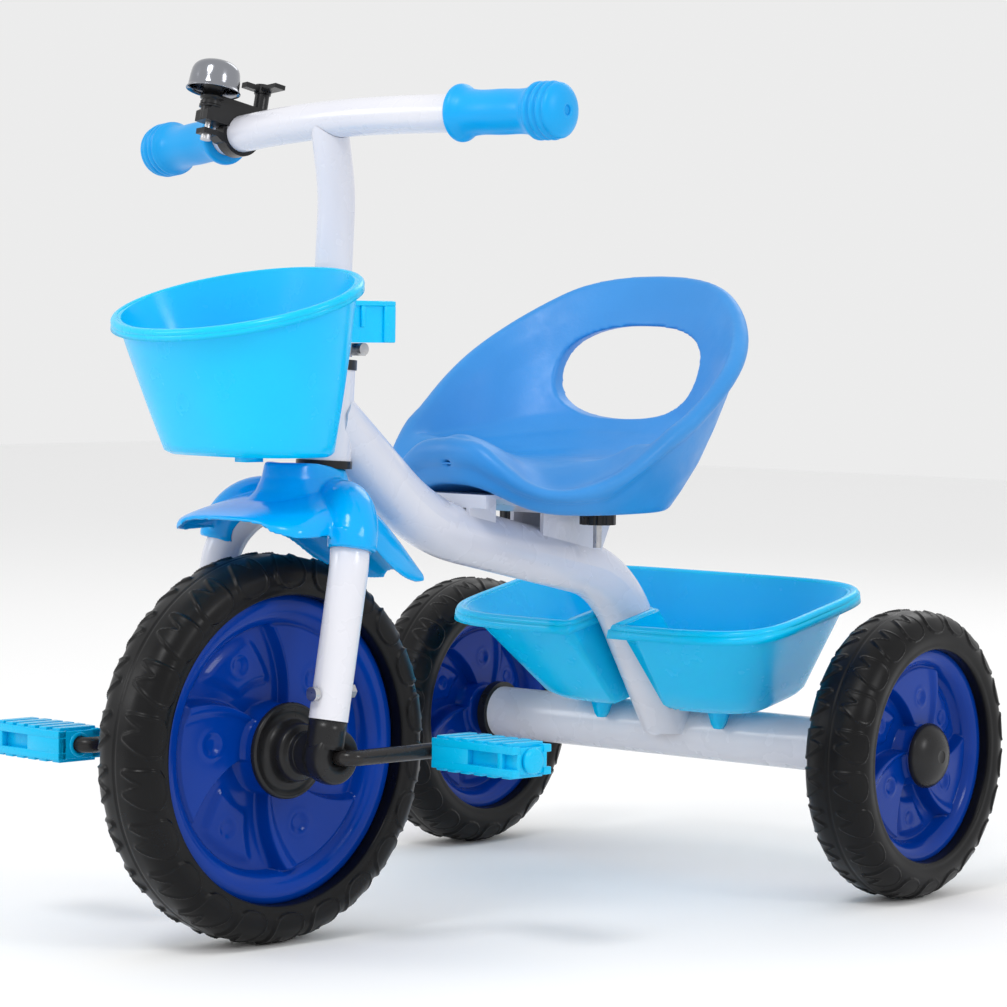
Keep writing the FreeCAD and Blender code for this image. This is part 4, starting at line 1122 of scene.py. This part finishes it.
def pedal_part():
    """Open frame round a barrel: two slotted rails, stepped treads and end plates."""
    blocks = []
    for side in (-1, 1):
        def rail(x0, x1, y0, y1, z0, z1):
            blocks.append(block((x0, min(side * y0, side * y1), z0), (x1, max(side * y0, side * y1), z1)))
        rail(PEDAL_INNER, PEDAL_OUTER, 10.5, 17, 4.6, 9.4)
        rail(PEDAL_INNER, PEDAL_OUTER, 10.5, 17, -9.4, -4.6)
        rail(PEDAL_INNER, 118, 10.5, 16.8, -5, 5)
        rail(144, 148, 10.5, 16.8, -5, 5)
        rail(117, 145, 9.5, 12, -5, 5)
        rail(147, PEDAL_OUTER, 9.5, 13, -5, 5)
    for x, wide in ((88, 14.5), (99.5, 16), (111, 16), (122.5, 16), (134, 16), (145.5, 14.5)):
        for z0, z1 in ((6.5, 11), (-11, -6.5)):
            blocks.append(block((x, -wide, z0), (x + 7.5, wide, z1)))
    blocks.append(block((PEDAL_INNER, -16.5, -8.8), (PEDAL_INNER + 4, 16.5, 8.8)))
    blocks.append(block((PEDAL_OUTER - 6, -12, -8.2), (PEDAL_OUTER - 1, 12, 8.2)))
    barrel = lathe([(PEDAL_INNER - 0.8, 5.4), (PEDAL_INNER - 0.8, 7.4), (PEDAL_INNER, 8.0),
                    (PEDAL_OUTER - 1, 8.0), (PEDAL_OUTER - 1, 5.4)], steps=40)
    return joined(blocks + [barrel])


def pedal_cap_part():
    """Round plug in the outer end of the pedal."""
    profile = [(PEDAL_OUTER - 4, 5.0), (PEDAL_OUTER - 1, 5.0), (PEDAL_OUTER - 1, 8.2),
               (PEDAL_OUTER + 1.6, 8.2), (PEDAL_OUTER + 2.6, 7.4), (PEDAL_OUTER + 3, 6.0),
               (PEDAL_OUTER + 3, 0.05)]
    return lathe(profile, steps=48, closed=False)


def add_pedals():
    cyan = MATERIALS["pedal_cyan"]
    for name, left in (("left", True), ("right", False)):
        body = "pedal_%s" % name
        throw = front_wheel_frame(left).inverted() @ Vector(JOINTS[body + "_spin"]["pos_m"])
        place = front_wheel_frame(left) @ Matrix.Translation((0, throw.y, throw.z))
        frame_piece = piece("pedal_%s_frame" % name, pedal_part(), place, body, cyan,
                            ["pedal_%s" % name])
        soften(frame_piece, 0.6)
        piece("pedal_cap_%s_plug" % name, pedal_cap_part(), place, body, cyan,
              ["pedal_cap_%s" % name])


# ---------------------------------------------------------------- studio

def add_floor():
    bpy.ops.mesh.primitive_plane_add(size=12, location=(0, 0, 0))
    floor = bpy.context.object
    floor.name = "studio_floor"
    floor.data.materials.append(floor_material())


def area_light(name, spot, target, size, power):
    data = bpy.data.lights.new(name, "AREA")
    data.shape = "DISK"
    data.size = size
    data.energy = power
    light = bpy.data.objects.new(name, data)
    light.location = spot
    light.rotation_euler = (Vector(target) - Vector(spot)).to_track_quat("-Z", "Y").to_euler()
    bpy.context.scene.collection.objects.link(light)


def add_lights():
    middle = (0, 0, 0.25)
    area_light("key", (0.3, -1.9, 2.4), middle, 0.8, 22)
    area_light("left_box", (-1.9, -1.9, 1.3), middle, 1.0, 9)
    area_light("right_box", (2.6, -0.1, 1.5), middle, 0.8, 13)
    area_light("back", (-0.6, 2.4, 2.0), middle, 1.4, 9)
    world = bpy.data.worlds.new("studio")
    world.use_nodes = True
    world.node_tree.nodes["Background"].inputs["Color"].default_value = (1, 1, 1, 1)
    world.node_tree.nodes["Background"].inputs["Strength"].default_value = 0.84
    bpy.context.scene.world = world


def add_camera():
    """Three-quarter view from the front left, almost level."""
    spot = Vector((1.5481, -1.9202, 0.4013))
    target = Vector((0.0113, 0.00975, 0.2716))
    data = bpy.data.cameras.new("camera")
    data.lens = 131.24
    data.sensor_width = 36
    camera = bpy.data.objects.new("camera", data)
    camera.location = spot
    view = (target - spot).to_track_quat("-Z", "Y")
    camera.rotation_euler = (view.to_matrix() @ Matrix.Rotation(math.radians(0.96), 3, "Z")).to_euler()
    bpy.context.scene.collection.objects.link(camera)
    bpy.context.scene.camera = camera


dress_cad_nodes()
add_front_wheel()
add_rear_wheels()
add_seat()
add_front_basket()
add_rear_basket()
add_mudguard()
add_grips()
add_bell()
add_clip_ribs()
add_bearing_blocks()
add_pedals()
add_floor()
add_lights()
add_camera()
bpy.context.scene.view_settings.view_transform = "Standard"
